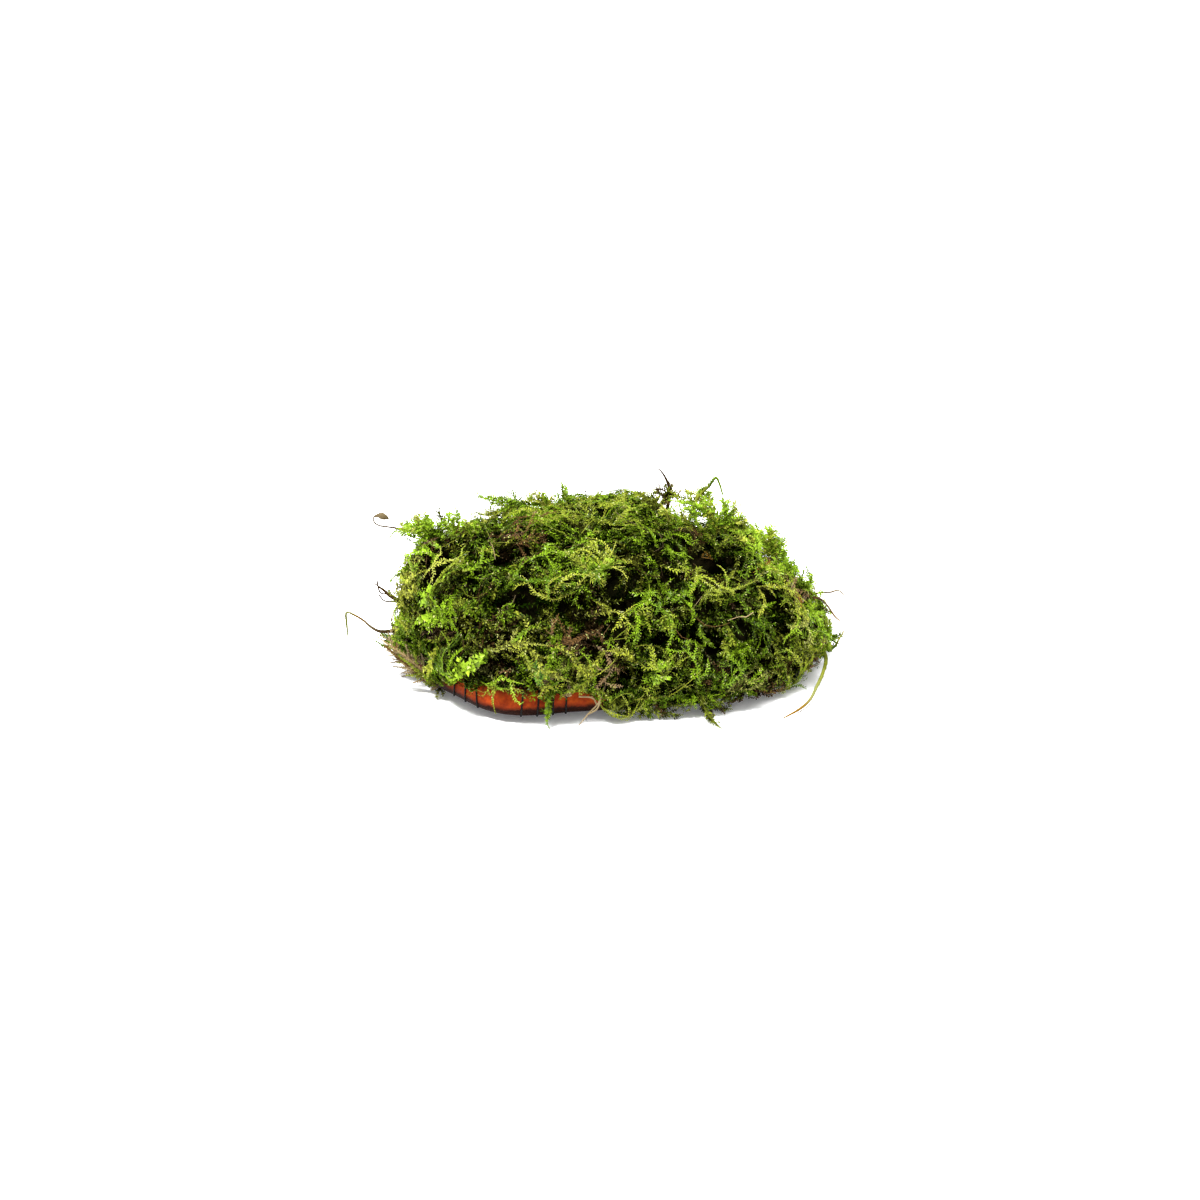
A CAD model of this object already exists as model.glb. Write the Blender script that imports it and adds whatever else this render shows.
"""Looks of the moss clump: living fronds over a tied terracotta tablet, on a white table.

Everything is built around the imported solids. The moss grows from a smooth guide surface that is
taken from the moss solid, so that its fronds reach about as far as the solid does. Patches, sprays
and fans then follow the photograph, region by region.
Lengths are metres unless a name says otherwise. Pixels are those of the 1200 x 1200 photograph.
"""

from __future__ import annotations

import logging
import math
from dataclasses import dataclass, field, replace
from enum import Enum
from typing import Any, Callable, Optional, Sequence, Union

import bmesh
import bpy
import numpy as np
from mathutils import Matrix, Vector, noise
from mathutils.bvhtree import BVHTree

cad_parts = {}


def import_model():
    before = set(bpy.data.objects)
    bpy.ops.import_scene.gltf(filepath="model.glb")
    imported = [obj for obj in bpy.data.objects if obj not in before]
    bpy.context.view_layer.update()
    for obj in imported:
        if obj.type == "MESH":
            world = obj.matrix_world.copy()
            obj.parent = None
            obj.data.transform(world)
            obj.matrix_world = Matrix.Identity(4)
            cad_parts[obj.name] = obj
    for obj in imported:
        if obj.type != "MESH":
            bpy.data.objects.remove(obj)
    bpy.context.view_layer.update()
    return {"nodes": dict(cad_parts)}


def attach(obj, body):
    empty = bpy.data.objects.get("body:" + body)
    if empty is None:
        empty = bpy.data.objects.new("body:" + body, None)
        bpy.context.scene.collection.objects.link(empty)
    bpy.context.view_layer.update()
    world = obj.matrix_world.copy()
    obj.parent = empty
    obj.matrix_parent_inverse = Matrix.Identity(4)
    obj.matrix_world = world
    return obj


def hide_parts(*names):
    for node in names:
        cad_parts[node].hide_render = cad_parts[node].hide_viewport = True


LOG = logging.getLogger("moss_clump")
MM = 0.001
TONE_MAP = "OFBake"
FLOOR_GAP = 0.0003
BODY = "root"
LEAST_LEAF = 0.12 * MM
Rows = np.ndarray
Draws = np.random.Generator


# ---- Node trees ----


def math_operator(operation: str, swapped: bool = False) -> Callable[[Any, Any], Sock]:
    """Makes a Python operator of a Math node.

    Args:
        operation: the node's operation.
        swapped: whether the socket is its second operand.

    Returns:
        The operator's method.
    """

    def apply(self: Sock, other: Any) -> Sock:
        """Adds the node."""
        return self.maths(operation, other, swapped=swapped)

    return apply


class Sock:
    """A node's output, with the arithmetic that adds Math nodes behind it."""

    __add__ = __radd__ = math_operator("ADD")
    __sub__ = math_operator("SUBTRACT")
    __rsub__ = math_operator("SUBTRACT", swapped=True)
    __mul__ = __rmul__ = math_operator("MULTIPLY")
    __truediv__ = math_operator("DIVIDE")
    __mod__ = math_operator("MODULO")
    __pow__ = math_operator("POWER")

    def __init__(self, graph: Graph, socket: bpy.types.NodeSocket) -> None:
        """Wraps the socket of this graph."""
        self.graph = graph
        self.socket = socket

    def maths(self, operation: str, *others: Any, swapped: bool = False) -> Sock:
        """Adds a Math node.

        Args:
            operation: the node's operation.
            others: the further operands.
            swapped: whether this socket comes last.

        Returns:
            The node's result.
        """
        values = [*others, self] if swapped else [self, *others]
        return self.graph.node("ShaderNodeMath", {"operation": operation}, dict(enumerate(values)))

    def clamp(self, low: float, high: float) -> Sock:
        """This, held between two values."""
        return self.maths("MAXIMUM", low).maths("MINIMUM", high)

    def ramp(self, start: float, end: float) -> Sock:
        """A smooth rise from 0 at start to 1 at end."""
        settings = {"interpolation_type": "SMOOTHSTEP", "clamp": True}
        names = {"Value": self, "From Min": start, "From Max": end}
        return self.graph.node("ShaderNodeMapRange", settings, names)

    def vector(self, operation: str, other: Any = None) -> Sock:
        """Adds a Vector Math node.

        Args:
            operation: the node's operation.
            other: the second vector, or the factor of SCALE.

        Returns:
            The node's result.
        """
        inputs: dict[Any, Any] = {0: self}
        if other is not None:
            inputs["Scale" if operation == "SCALE" else 1] = other
        return self.graph.node("ShaderNodeVectorMath", {"operation": operation}, inputs, "Vector")

    def part(self, axis: str) -> Sock:
        """One coordinate of this vector."""
        return self.graph.node("ShaderNodeSeparateXYZ", {}, {0: self}, axis)


class Graph:
    """A node tree that is filled from Python expressions."""

    def __init__(self, tree: bpy.types.NodeTree) -> None:
        """Wraps the tree."""
        self.tree = tree

    def node(self, kind: str, settings: dict[str, Any], inputs: dict[Any, Any], out: Any = 0) -> Sock:
        """Adds a node.

        Args:
            kind: the node's type.
            settings: its properties, set before its sockets. A ramp's stops are under "stops".
            inputs: values or sockets, by name or number.
            out: the output to hand back, by name or number.

        Returns:
            That output.
        """
        made = self.tree.nodes.new(kind)
        for name, value in settings.items():
            if name == "stops":
                self.set_stops(made.color_ramp, value)
            else:
                setattr(made, name, value)
        for key, value in inputs.items():
            socket = self.pick(made.inputs, key)
            for one in value if isinstance(value, list) else [value]:
                if isinstance(one, Sock):
                    self.tree.links.new(one.socket, socket)
                else:
                    socket.default_value = one
        return Sock(self, self.pick(made.outputs, out))

    @staticmethod
    def pick(sockets: Any, key: Union[int, str]) -> bpy.types.NodeSocket:
        """The socket of this number, or the one in use that has this name."""
        if isinstance(key, int):
            return sockets[key]
        return next(socket for socket in sockets if socket.enabled and socket.name == key)

    @staticmethod
    def set_stops(ramp: bpy.types.ColorRamp, stops: Sequence[tuple[float, tuple]]) -> None:
        """Gives a colour ramp these stops."""
        while len(ramp.elements) > 1:
            ramp.elements.remove(ramp.elements[-1])
        for number, (place, colour) in enumerate(stops):
            stop = ramp.elements.new(place) if number else ramp.elements[0]
            stop.position = place
            stop.color = (*colour, 1.0)

    def mix(self, factor: Any, first: Sock, second: Any) -> Sock:
        """Mixes a colour with a second one, which may be three numbers."""
        second = second if isinstance(second, Sock) else (*second, 1.0)
        settings = {"data_type": "RGBA", "blend_type": "MIX"}
        return self.node("ShaderNodeMix", settings, {"Factor": factor, "A": first, "B": second}, "Result")

    def noise(self, place: Sock, scale: float, detail: float, rough: float) -> Sock:
        """Soft noise at this place, about 0 to 1."""
        names = {"Vector": place, "Scale": scale, "Detail": detail, "Roughness": rough}
        return self.node("ShaderNodeTexNoise", {"noise_dimensions": "3D"}, names)

    def tinted(self, value: Sock, stops: Sequence[tuple[float, tuple]]) -> Sock:
        """The colour that a ramp of these stops has at this value."""
        return self.node("ShaderNodeValToRGB", {"stops": stops}, {0: value})

    def bumped(self, strength: float, distance: float, height: Sock) -> Sock:
        """The normal of a fine relief."""
        names = {"Strength": strength, "Distance": distance, "Height": height}
        return self.node("ShaderNodeBump", {}, names)

    def principled(self, inputs: dict[str, Any]) -> Sock:
        """A Principled shader with these inputs."""
        return self.node("ShaderNodeBsdfPrincipled", {}, inputs)

    def combined(self, x: Any, y: Any, z: Any = 0.0) -> Sock:
        """The vector of three coordinates."""
        return self.node("ShaderNodeCombineXYZ", {}, {"X": x, "Y": y, "Z": z})

    def read(self, name: str, kind: str = "FLOAT") -> Sock:
        """A value that the path carries."""
        return self.node("GeometryNodeInputNamedAttribute", {"data_type": kind}, {"Name": name}, "Attribute")

    def store(
        self, geometry: Sock, name: str, value: Sock, kind: str = "FLOAT", domain: str = "POINT"
    ) -> Sock:
        """Keeps a value on the geometry."""
        settings = {"data_type": kind, "domain": domain}
        names = {"Geometry": geometry, "Name": name, "Value": value}
        return self.node("GeometryNodeStoreNamedAttribute", settings, names)


class PathTree:
    """A node tree that lays a shape along a path of edges, with named inputs for its sizes."""

    NAME = "path"
    INPUTS: tuple = ()

    def __init__(self) -> None:
        """Builds the tree."""
        self.tree = bpy.data.node_groups.new(self.NAME, "GeometryNodeTree")
        face = self.tree.interface
        face.new_socket("Path", in_out="INPUT", socket_type="NodeSocketGeometry")
        self.keys: dict[str, str] = {}
        for name, kind, value in (*self.INPUTS, ("Finish", "NodeSocketMaterial", None)):
            item = face.new_socket(name, in_out="INPUT", socket_type=kind)
            if value is not None:
                item.default_value = value
            self.keys[name] = item.identifier
        face.new_socket("Shape", in_out="OUTPUT", socket_type="NodeSocketGeometry")
        graph = self.graph = Graph(self.tree)
        source = self.tree.nodes.new("NodeGroupInput")
        self.given = {s.name: Sock(graph, s) for s in source.outputs if s.name}
        curve = graph.node("GeometryNodeMeshToCurve", {}, {"Mesh": self.given["Path"]})
        plain = graph.node("GeometryNodeRealizeInstances", {}, {"Geometry": self.shape(curve)})
        names = {"Geometry": self.mapped(plain), "Material": self.given["Finish"]}
        dressed = graph.node("GeometryNodeSetMaterial", {}, names)
        end = self.tree.nodes.new("NodeGroupOutput")
        self.tree.links.new(dressed.socket, end.inputs[0])

    def shape(self, curve: Sock) -> Sock:
        """Lays the shape along the curve."""
        raise NotImplementedError

    def mapped(self, geometry: Sock) -> Sock:
        """Adds the map that the finish reads, where it reads one."""
        return geometry

    def even(self, curve: Sock, size: str) -> Sock:
        """The curve in even steps of the length that this input gives."""
        names = {"Curve": curve, "Length": self.given[size]}
        return self.graph.node("GeometryNodeResampleCurve", {"mode": "LENGTH"}, names)

    def ring(self, sides: Any) -> Sock:
        """A ring of radius 1."""
        names = {"Resolution": sides, "Radius": 1.0}
        return self.graph.node("GeometryNodeCurvePrimitiveCircle", {"mode": "RADIUS"}, names)

    def tube(self, curve: Sock, ring: Sock, radius: Sock) -> Sock:
        """A closed tube round the curve."""
        names = {"Curve": curve, "Profile Curve": ring, "Scale": radius, "Fill Caps": True}
        return self.graph.node("GeometryNodeCurveToMesh", {}, names)

    def run(self, path: bpy.types.Mesh, finish: bpy.types.Material, **sizes: float) -> bpy.types.Mesh:
        """Runs the tree on a path.

        Args:
            path: the edges, which are used up.
            finish: the finish of the shape.
            sizes: values for the tree's inputs, with _ for a space.

        Returns:
            The shape as one plain mesh.
        """
        source = link(path.name, path)
        grown = source.modifiers.new(self.NAME, "NODES")
        grown.node_group = self.tree
        grown[self.keys["Finish"]] = finish
        for key, value in sizes.items():
            grown[self.keys[key.replace("_", " ").title()]] = value
        mesh = evaluated_mesh(source)
        discard(source)
        return mesh


# ---- Finishes ----


class Finish:
    """What every material of the part has in common."""

    name = "finish"

    def build(self) -> bpy.types.Material:
        """Makes the material."""
        material = bpy.data.materials.new(self.name)
        material.use_nodes = True
        material.node_tree.nodes.clear()
        graph = Graph(material.node_tree)
        shader = self.shade(graph)
        end = graph.tree.nodes.new("ShaderNodeOutputMaterial")
        graph.tree.links.new(shader.socket, end.inputs["Surface"])
        return material

    def shade(self, graph: Graph) -> Sock:
        """Fills the graph and hands back its shader."""
        raise NotImplementedError


class Tone(Enum):
    """Where each colour of moss lies on the tone axis of the leaves' map."""

    HUMUS = 0.05
    BROWN = 0.14
    TAN = 0.22
    GOLD = 0.29
    CREAM = 0.36
    STRAW = 0.43
    OLIVE = 0.50
    DEEP = 0.58
    LEAF = 0.67
    FRESH = 0.77
    LIME = 0.87
    SEA = 0.96


HUMUS, BROWN, TAN, GOLD, CREAM, STRAW, OLIVE, DEEP, LEAF, FRESH, LIME, SEA = Tone


@dataclass(frozen=True)
class MossFinish(Finish):
    """Wet living moss. A leaf's map gives its tone across and its light up.

    A row of the palette is a tone, its colour in the shade and its colour in full light.
    """

    name: str = "living_moss"
    palette: tuple = (
        (HUMUS, (0.0006, 0.0005, 0.0002), (0.0272, 0.0168, 0.0064)),
        (BROWN, (0.0022, 0.0012, 0.0004), (0.1520, 0.0840, 0.0304)),
        (TAN, (0.0176, 0.0112, 0.0036), (0.3840, 0.2960, 0.1600)),
        (GOLD, (0.0320, 0.0120, 0.0014), (0.4000, 0.2160, 0.0280)),
        (CREAM, (0.0320, 0.0336, 0.0080), (0.4800, 0.4960, 0.1760)),
        (STRAW, (0.0080, 0.0080, 0.0005), (0.4000, 0.4320, 0.0480)),
        (OLIVE, (0.0018, 0.0023, 0.0002), (0.2850, 0.3400, 0.0336)),
        (DEEP, (0.0005, 0.0013, 0.0001), (0.0960, 0.1760, 0.0096)),
        (LEAF, (0.0009, 0.0032, 0.0002), (0.2000, 0.3200, 0.0136)),
        (FRESH, (0.0027, 0.0088, 0.0002), (0.2560, 0.4080, 0.0224)),
        (LIME, (0.0136, 0.0312, 0.0006), (0.3200, 0.4720, 0.0320)),
        (SEA, (0.0014, 0.0045, 0.0009), (0.1100, 0.2500, 0.0360)),
    )
    contrast: float = 1.6
    see_through: float = 0.30
    roughness: float = 0.6
    wet_gloss: float = 0.1
    film: float = 0.5
    film_roughness: float = 0.32
    drop_rate: float = 61.0
    drop_edge: tuple[float, float] = (0.55, 0.70)

    def shade(self, graph: Graph) -> Sock:
        """Colour and gloss from the leaf's map, and some light let through."""
        place = graph.node("ShaderNodeUVMap", {"uv_map": TONE_MAP}, {})
        tone, light = place.part("X"), place.part("Y")
        dark, pale = (
            graph.tinted(tone, [(row[0].value, row[side]) for row in self.palette]) for side in (1, 2)
        )
        colour = graph.mix(light**self.contrast, dark, pale)
        wet = (tone * self.drop_rate % 1.0).ramp(*self.drop_edge)
        surface = graph.principled(
            {"Base Color": colour, "Roughness": self.roughness - wet * self.wet_gloss,
             "Specular IOR Level": 0.0, "Coat Weight": wet * light * self.film,
             "Coat Roughness": self.film_roughness}
        )
        through = graph.node("ShaderNodeBsdfTranslucent", {}, {"Color": colour})
        return graph.node("ShaderNodeMixShader", {}, {0: self.see_through, 1: surface, 2: through})


@dataclass(frozen=True)
class HumusFinish(Finish):
    """The dark, matted old growth below the living fronds. Noises are scale, detail and roughness."""

    name: str = "old_growth"
    stops: tuple = (
        (0.30, (0.0006, 0.0006, 0.0004)),
        (0.48, (0.0024, 0.0024, 0.0008)),
        (0.60, (0.0064, 0.0051, 0.0019)),
        (0.74, (0.0144, 0.0104, 0.0048)),
    )
    patches: tuple = (260.0, 4.0, 0.6)
    grain: tuple = (2200.0, 3.0, 0.7)
    patch_share: float = 0.7
    grain_share: float = 0.3
    relief: tuple[float, float] = (0.9, 0.0006)
    roughness: float = 0.85
    grain_gloss: float = 0.2

    def shade(self, graph: Graph) -> Sock:
        """Crumbly dark brown and green, with fibres in its relief."""
        place = graph.node("ShaderNodeTexCoord", {}, {}, "Object")
        patches, grain = graph.noise(place, *self.patches), graph.noise(place, *self.grain)
        colour = graph.tinted(patches * self.patch_share + grain * self.grain_share, self.stops)
        return graph.principled(
            {"Base Color": colour, "Roughness": self.roughness - grain * self.grain_gloss,
             "Normal": graph.bumped(*self.relief, grain + patches),
             "Specular IOR Level": 0.0}
        )


@dataclass(frozen=True)
class Coat:
    """A colour over another: how much of it shows, and where it sets in and is full."""

    colour: tuple
    share: float
    band: tuple

    def over(self, value: Sock) -> Sock:
        """How much of it shows at this value."""
        return value.ramp(*self.band) * self.share


@dataclass(frozen=True)
class ClayFinish(Finish):
    """Damp fired clay, orange above and redder below, with algae where the moss touches it.

    Noises are scale, detail and roughness.
    """

    name: str = "terracotta"
    broad: tuple = (55.0, 3.0, 0.55)
    mottle: tuple = (420.0, 5.0, 0.65)
    grain: tuple = (3200.0, 2.0, 0.6)
    broad_share: float = 0.45
    mottle_share: float = 0.55
    stops: tuple = (
        (0.34, (0.0640, 0.0070, 0.0024)),
        (0.45, (0.1800, 0.0210, 0.0034)),
        (0.56, (0.2900, 0.0440, 0.0050)),
        (0.72, (0.3700, 0.0850, 0.0130)),
    )
    rosy: Coat = Coat((0.2160, 0.0384, 0.0160), 0.3, (-0.0012, 0.0030))
    rosy_top: float = 0.0048
    algae: Coat = Coat((0.0080, 0.0088, 0.0032), 0.92, (0.0062, 0.0098))
    algae_waver: float = 0.0085
    speck_band: tuple = (0.60, 0.68)
    speck_region: tuple = (0.42, 0.62)
    speck_share: float = 0.65
    stain: Coat = Coat((0.030, 0.009, 0.005), 0.85, (0.031, 0.041))
    damp: Coat = Coat((0.0050, 0.0012, 0.0008), 0.98, (-0.0007, 0.0007))
    damp_top: float = 0.0042
    damp_waver: float = 0.0020
    chalk: Coat = Coat((0.3520, 0.1360, 0.0480), 0.15, (0.60, 0.78))
    relief: tuple[float, float] = (0.55, 0.0003)
    grain_relief: float = 0.5
    roughness: float = 0.62
    mottle_gloss: float = 0.18
    specular: float = 0.03

    def shade(self, graph: Graph) -> Sock:
        """Mottled clay with pores, dark growth near the moss, a stained end and a damp foot."""
        place = graph.node("ShaderNodeTexCoord", {}, {}, "Object")
        height, left = place.part("Z"), 0.0 - place.part("X")
        broad, mottle, grain = (graph.noise(place, *kind) for kind in (self.broad, self.mottle, self.grain))
        waver = mottle - 0.5
        growth = (height + waver * self.algae_waver).ramp(*self.algae.band)
        specks = mottle.ramp(*self.speck_band) * self.speck_share * broad.ramp(*self.speck_region)
        body = graph.tinted(mottle * self.mottle_share + broad * self.broad_share, self.stops)
        for coat, share in (
            (self.rosy, self.rosy.over(self.rosy_top - height)),
            (self.algae, (growth + specks).clamp(0.0, self.algae.share)),
            (self.stain, self.stain.over(left)),
            (self.damp, self.damp.over(self.damp_top - height + waver * self.damp_waver)),
            (self.chalk, self.chalk.over(grain)),
        ):
            body = graph.mix(share, body, coat.colour)
        return graph.principled(
            {"Base Color": body, "Roughness": self.roughness - mottle * self.mottle_gloss,
             "Normal": graph.bumped(*self.relief, grain * self.grain_relief + mottle),
             "Specular IOR Level": self.specular}
        )


@dataclass(frozen=True)
class ThreadFinish(Finish):
    """Black sewing thread, a little worn and dusted with algae. The noise is scale, detail, roughness."""

    name: str = "black_thread"
    noise: tuple = (900.0, 3.0, 0.6)
    black: tuple = (0.0014, 0.0013, 0.0013, 1.0)
    worn: Coat = Coat((0.018, 0.014, 0.010), 0.25, (0.55, 0.75))
    roughness: float = 0.55
    wear_roughness: float = 0.2
    specular: float = 0.15

    def shade(self, graph: Graph) -> Sock:
        """Near-black fibre with lighter worn spots."""
        place = graph.node("ShaderNodeTexCoord", {}, {}, "Object")
        wear = graph.noise(place, *self.noise)
        return graph.principled(
            {"Base Color": graph.mix(self.worn.over(wear), self.black, self.worn.colour),
             "Roughness": self.roughness + wear * self.wear_roughness,
             "Specular IOR Level": self.specular}
        )


@dataclass(frozen=True)
class TableFinish(Finish):
    """The plain white table."""

    name: str = "white_table"
    colour: tuple = (0.93, 0.93, 0.93, 1.0)
    roughness: float = 0.8
    lift: float = 0.12

    def shade(self, graph: Graph) -> Sock:
        """Flat matt white."""
        return graph.principled(
            {"Base Color": self.colour, "Roughness": self.roughness, "Emission Color": self.colour,
             "Emission Strength": self.lift}
        )


# ---- Meshes ----


def link(name: str, mesh: bpy.types.Mesh) -> bpy.types.Object:
    """Puts a mesh in the scene as an object of this name."""
    made = bpy.data.objects.new(name, mesh)
    bpy.context.scene.collection.objects.link(made)
    return made


def evaluated_mesh(source: bpy.types.Object) -> bpy.types.Mesh:
    """The plain mesh that the object's modifiers make."""
    graph = bpy.context.evaluated_depsgraph_get()
    return bpy.data.meshes.new_from_object(source.evaluated_get(graph))


def discard(source: bpy.types.Object) -> None:
    """Removes a helper object and its data."""
    data = source.data
    bpy.data.objects.remove(source)
    bpy.data.meshes.remove(data)


def hand_over(piece: bpy.types.Object, slot: str, *nodes: str) -> None:
    """Tells the frame what a finished piece stands for, and reports it."""
    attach(piece, BODY)
    if nodes:
        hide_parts(*nodes)
    LOG.info("%s: %d faces", piece.name, len(piece.data.polygons))


def arrays_of(mesh: bpy.types.Mesh) -> tuple[Rows, Rows]:
    """The mesh's points and vertex normals."""
    count = len(mesh.vertices)
    points, normals = np.empty(count * 3), np.empty(count * 3)
    mesh.vertices.foreach_get("co", points)
    mesh.vertex_normals.foreach_get("vector", normals)
    return points.reshape(-1, 3), normals.reshape(-1, 3)


def keep_largest(mesh: bpy.types.Mesh) -> None:
    """Drops every part of the mesh that hangs apart from its largest part."""
    bm = bmesh.new()
    bm.from_mesh(mesh)
    left, parts = set(bm.verts), []
    while left:
        part, front = set(), [left.pop()]
        while front:
            vert = front.pop()
            part.add(vert)
            near = {edge.other_vert(vert) for edge in vert.link_edges} & left
            left -= near
            front.extend(near)
        parts.append(part)
    parts.sort(key=len)
    spare = [vert for part in parts[:-1] for vert in part]
    bmesh.ops.delete(bm, geom=spare, context="VERTS")
    bm.to_mesh(mesh)
    bm.free()


def unit(rows: Rows) -> Rows:
    """Rows scaled to length 1."""
    return rows / np.maximum(np.linalg.norm(rows, axis=-1, keepdims=True), 1e-12)


def smooth_between(four: Sequence[Any], share: float) -> Any:
    """A point between the second and the third of four, on the smooth curve through them all."""
    before, start, end, after = four
    bend = 2 * before - 5 * start + 4 * end - after
    twist = 3 * (start - end) + after - before
    return start + 0.5 * share * (end - before + share * (bend + share * twist))


def four_around(rows: Sequence[Any], step: int) -> list:
    """The four rows round the gap after this one, with the ends used again past them."""
    return [rows[min(max(step + k, 0), len(rows) - 1)] for k in (-1, 0, 1, 2)]


def smoothed(rows: Rows, steps: int = 9) -> Rows:
    """The same line with even steps, on a smooth curve through its points."""
    last, made = len(rows) - 1, []
    for place in np.linspace(0, last, steps):
        row = min(int(place), last - 1)
        made.append(smooth_between(four_around(rows, row), place - row))
    return np.array(made)


# ---- Camera ----


@dataclass
class Viewpoint:
    """The photograph's camera."""

    elevation_deg: float = 22.0
    distance: float = 0.70
    lens: float = 85.0
    sensor: float = 36.0
    frame_px: float = 1200.0
    target: tuple[float, float, float] = (-0.0006, 0.0, 0.0147)
    reach: tuple[float, float] = (0.01, 100.0)

    def __post_init__(self) -> None:
        """Works out the camera's place and axes."""
        lift = math.radians(self.elevation_deg)
        back = np.array([0.0, -math.cos(lift), math.sin(lift)])
        self.place = np.array(self.target) + self.distance * back
        self.ahead = -back
        self.right = np.array([1.0, 0.0, 0.0])
        self.up = np.cross(self.right, self.ahead)
        self.focal_px = self.frame_px * self.lens / self.sensor
        self.px_per_metre = self.focal_px / self.distance

    def build(self) -> None:
        """Adds the camera and makes it the scene's."""
        data = bpy.data.cameras.new("camera")
        data.lens, data.sensor_width = self.lens, self.sensor
        data.clip_start, data.clip_end = self.reach
        camera = bpy.data.objects.new("camera", data)
        bpy.context.scene.collection.objects.link(camera)
        camera.location = self.place
        camera.rotation_euler = Vector(self.ahead).to_track_quat("-Z", "Y").to_euler()
        bpy.context.scene.camera = camera

    def seen_as(self, points: Rows) -> tuple[Rows, Rows]:
        """The pixels at which these points show, and how far off they are."""
        away = points - self.place
        depth = away @ self.ahead
        across = away @ self.right / depth * self.focal_px + self.frame_px / 2
        down = self.frame_px / 2 - away @ self.up / depth * self.focal_px
        return np.stack([across, down], axis=1), depth

    @staticmethod
    def within(seen: Rows, edge_px: Sequence[tuple]) -> Rows:
        """Which of these pixels lie inside an outline."""
        start = np.array(edge_px, float)
        end = np.roll(start, -1, axis=0)
        level = (start[:, 1] > seen[:, 1:2]) != (end[:, 1] > seen[:, 1:2])
        rise = np.where(end[:, 1] == start[:, 1], 1.0, end[:, 1] - start[:, 1])
        cut = start[:, 0] + (seen[:, 1:2] - start[:, 1]) * (end[:, 0] - start[:, 0]) / rise
        return (level & (seen[:, :1] < cut)).sum(axis=1) % 2 == 1

    def drawn_in(self, points: Rows, edge_px: Sequence[tuple]) -> Rows:
        """Moves points that show outside an outline onto it.

        Args:
            points: the points.
            edge_px: the outline's corners.

        Returns:
            The points, each moved across the view alone.
        """
        seen, depth = self.seen_as(points)
        start = np.array(edge_px, float)
        along = np.roll(start, -1, axis=0) - start
        rel = seen[:, None] - start[None]
        share = np.clip((rel * along).sum(2) / (along**2).sum(1), 0.0, 1.0)
        nearest = start + along * share[..., None]
        gap = np.linalg.norm(seen[:, None] - nearest, axis=2)
        goal = nearest[np.arange(len(seen)), gap.argmin(axis=1)]
        inside = self.within(seen, edge_px)
        move = np.where(inside[:, None], 0.0, goal - seen) * (depth / self.focal_px)[:, None]
        return points + move[:, :1] * self.right - move[:, 1:] * self.up

    def ray(self, across_px: float, down_px: float) -> Rows:
        """The direction in which this pixel looks."""
        half = self.frame_px / 2
        aim = self.right * (across_px - half) / self.focal_px
        aim = aim - self.up * (down_px - half) / self.focal_px
        return unit(self.ahead + aim)


# ---- Moss ----


class Cover(Enum):
    """What grows on a patch."""

    MAT = "mat"
    FEATHER = "feather"
    HOLLOW = "hollow"


MAT, FEATHER, HOLLOW = Cover


@dataclass(frozen=True)
class Patch:
    """A place on the front of the clump that looks unlike the mat round it."""

    across_px: float
    down_px: float
    radius_mm: float
    tone: Tone
    light: float
    cover: Cover
    heading_deg: Optional[float] = None
    lift_mm: float = 0.0


def patches(cover: Cover, tone: Tone, *rows: tuple) -> list[Patch]:
    """Makes patches of one kind.

    Args:
        cover: what grows on them.
        tone: their tone.
        rows: pixels across and down, radius in mm and light, then any heading in degrees and lift in mm.

    Returns:
        The patches.
    """
    return [Patch(*row[:3], tone, row[3], cover, *row[4:]) for row in rows]


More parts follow.
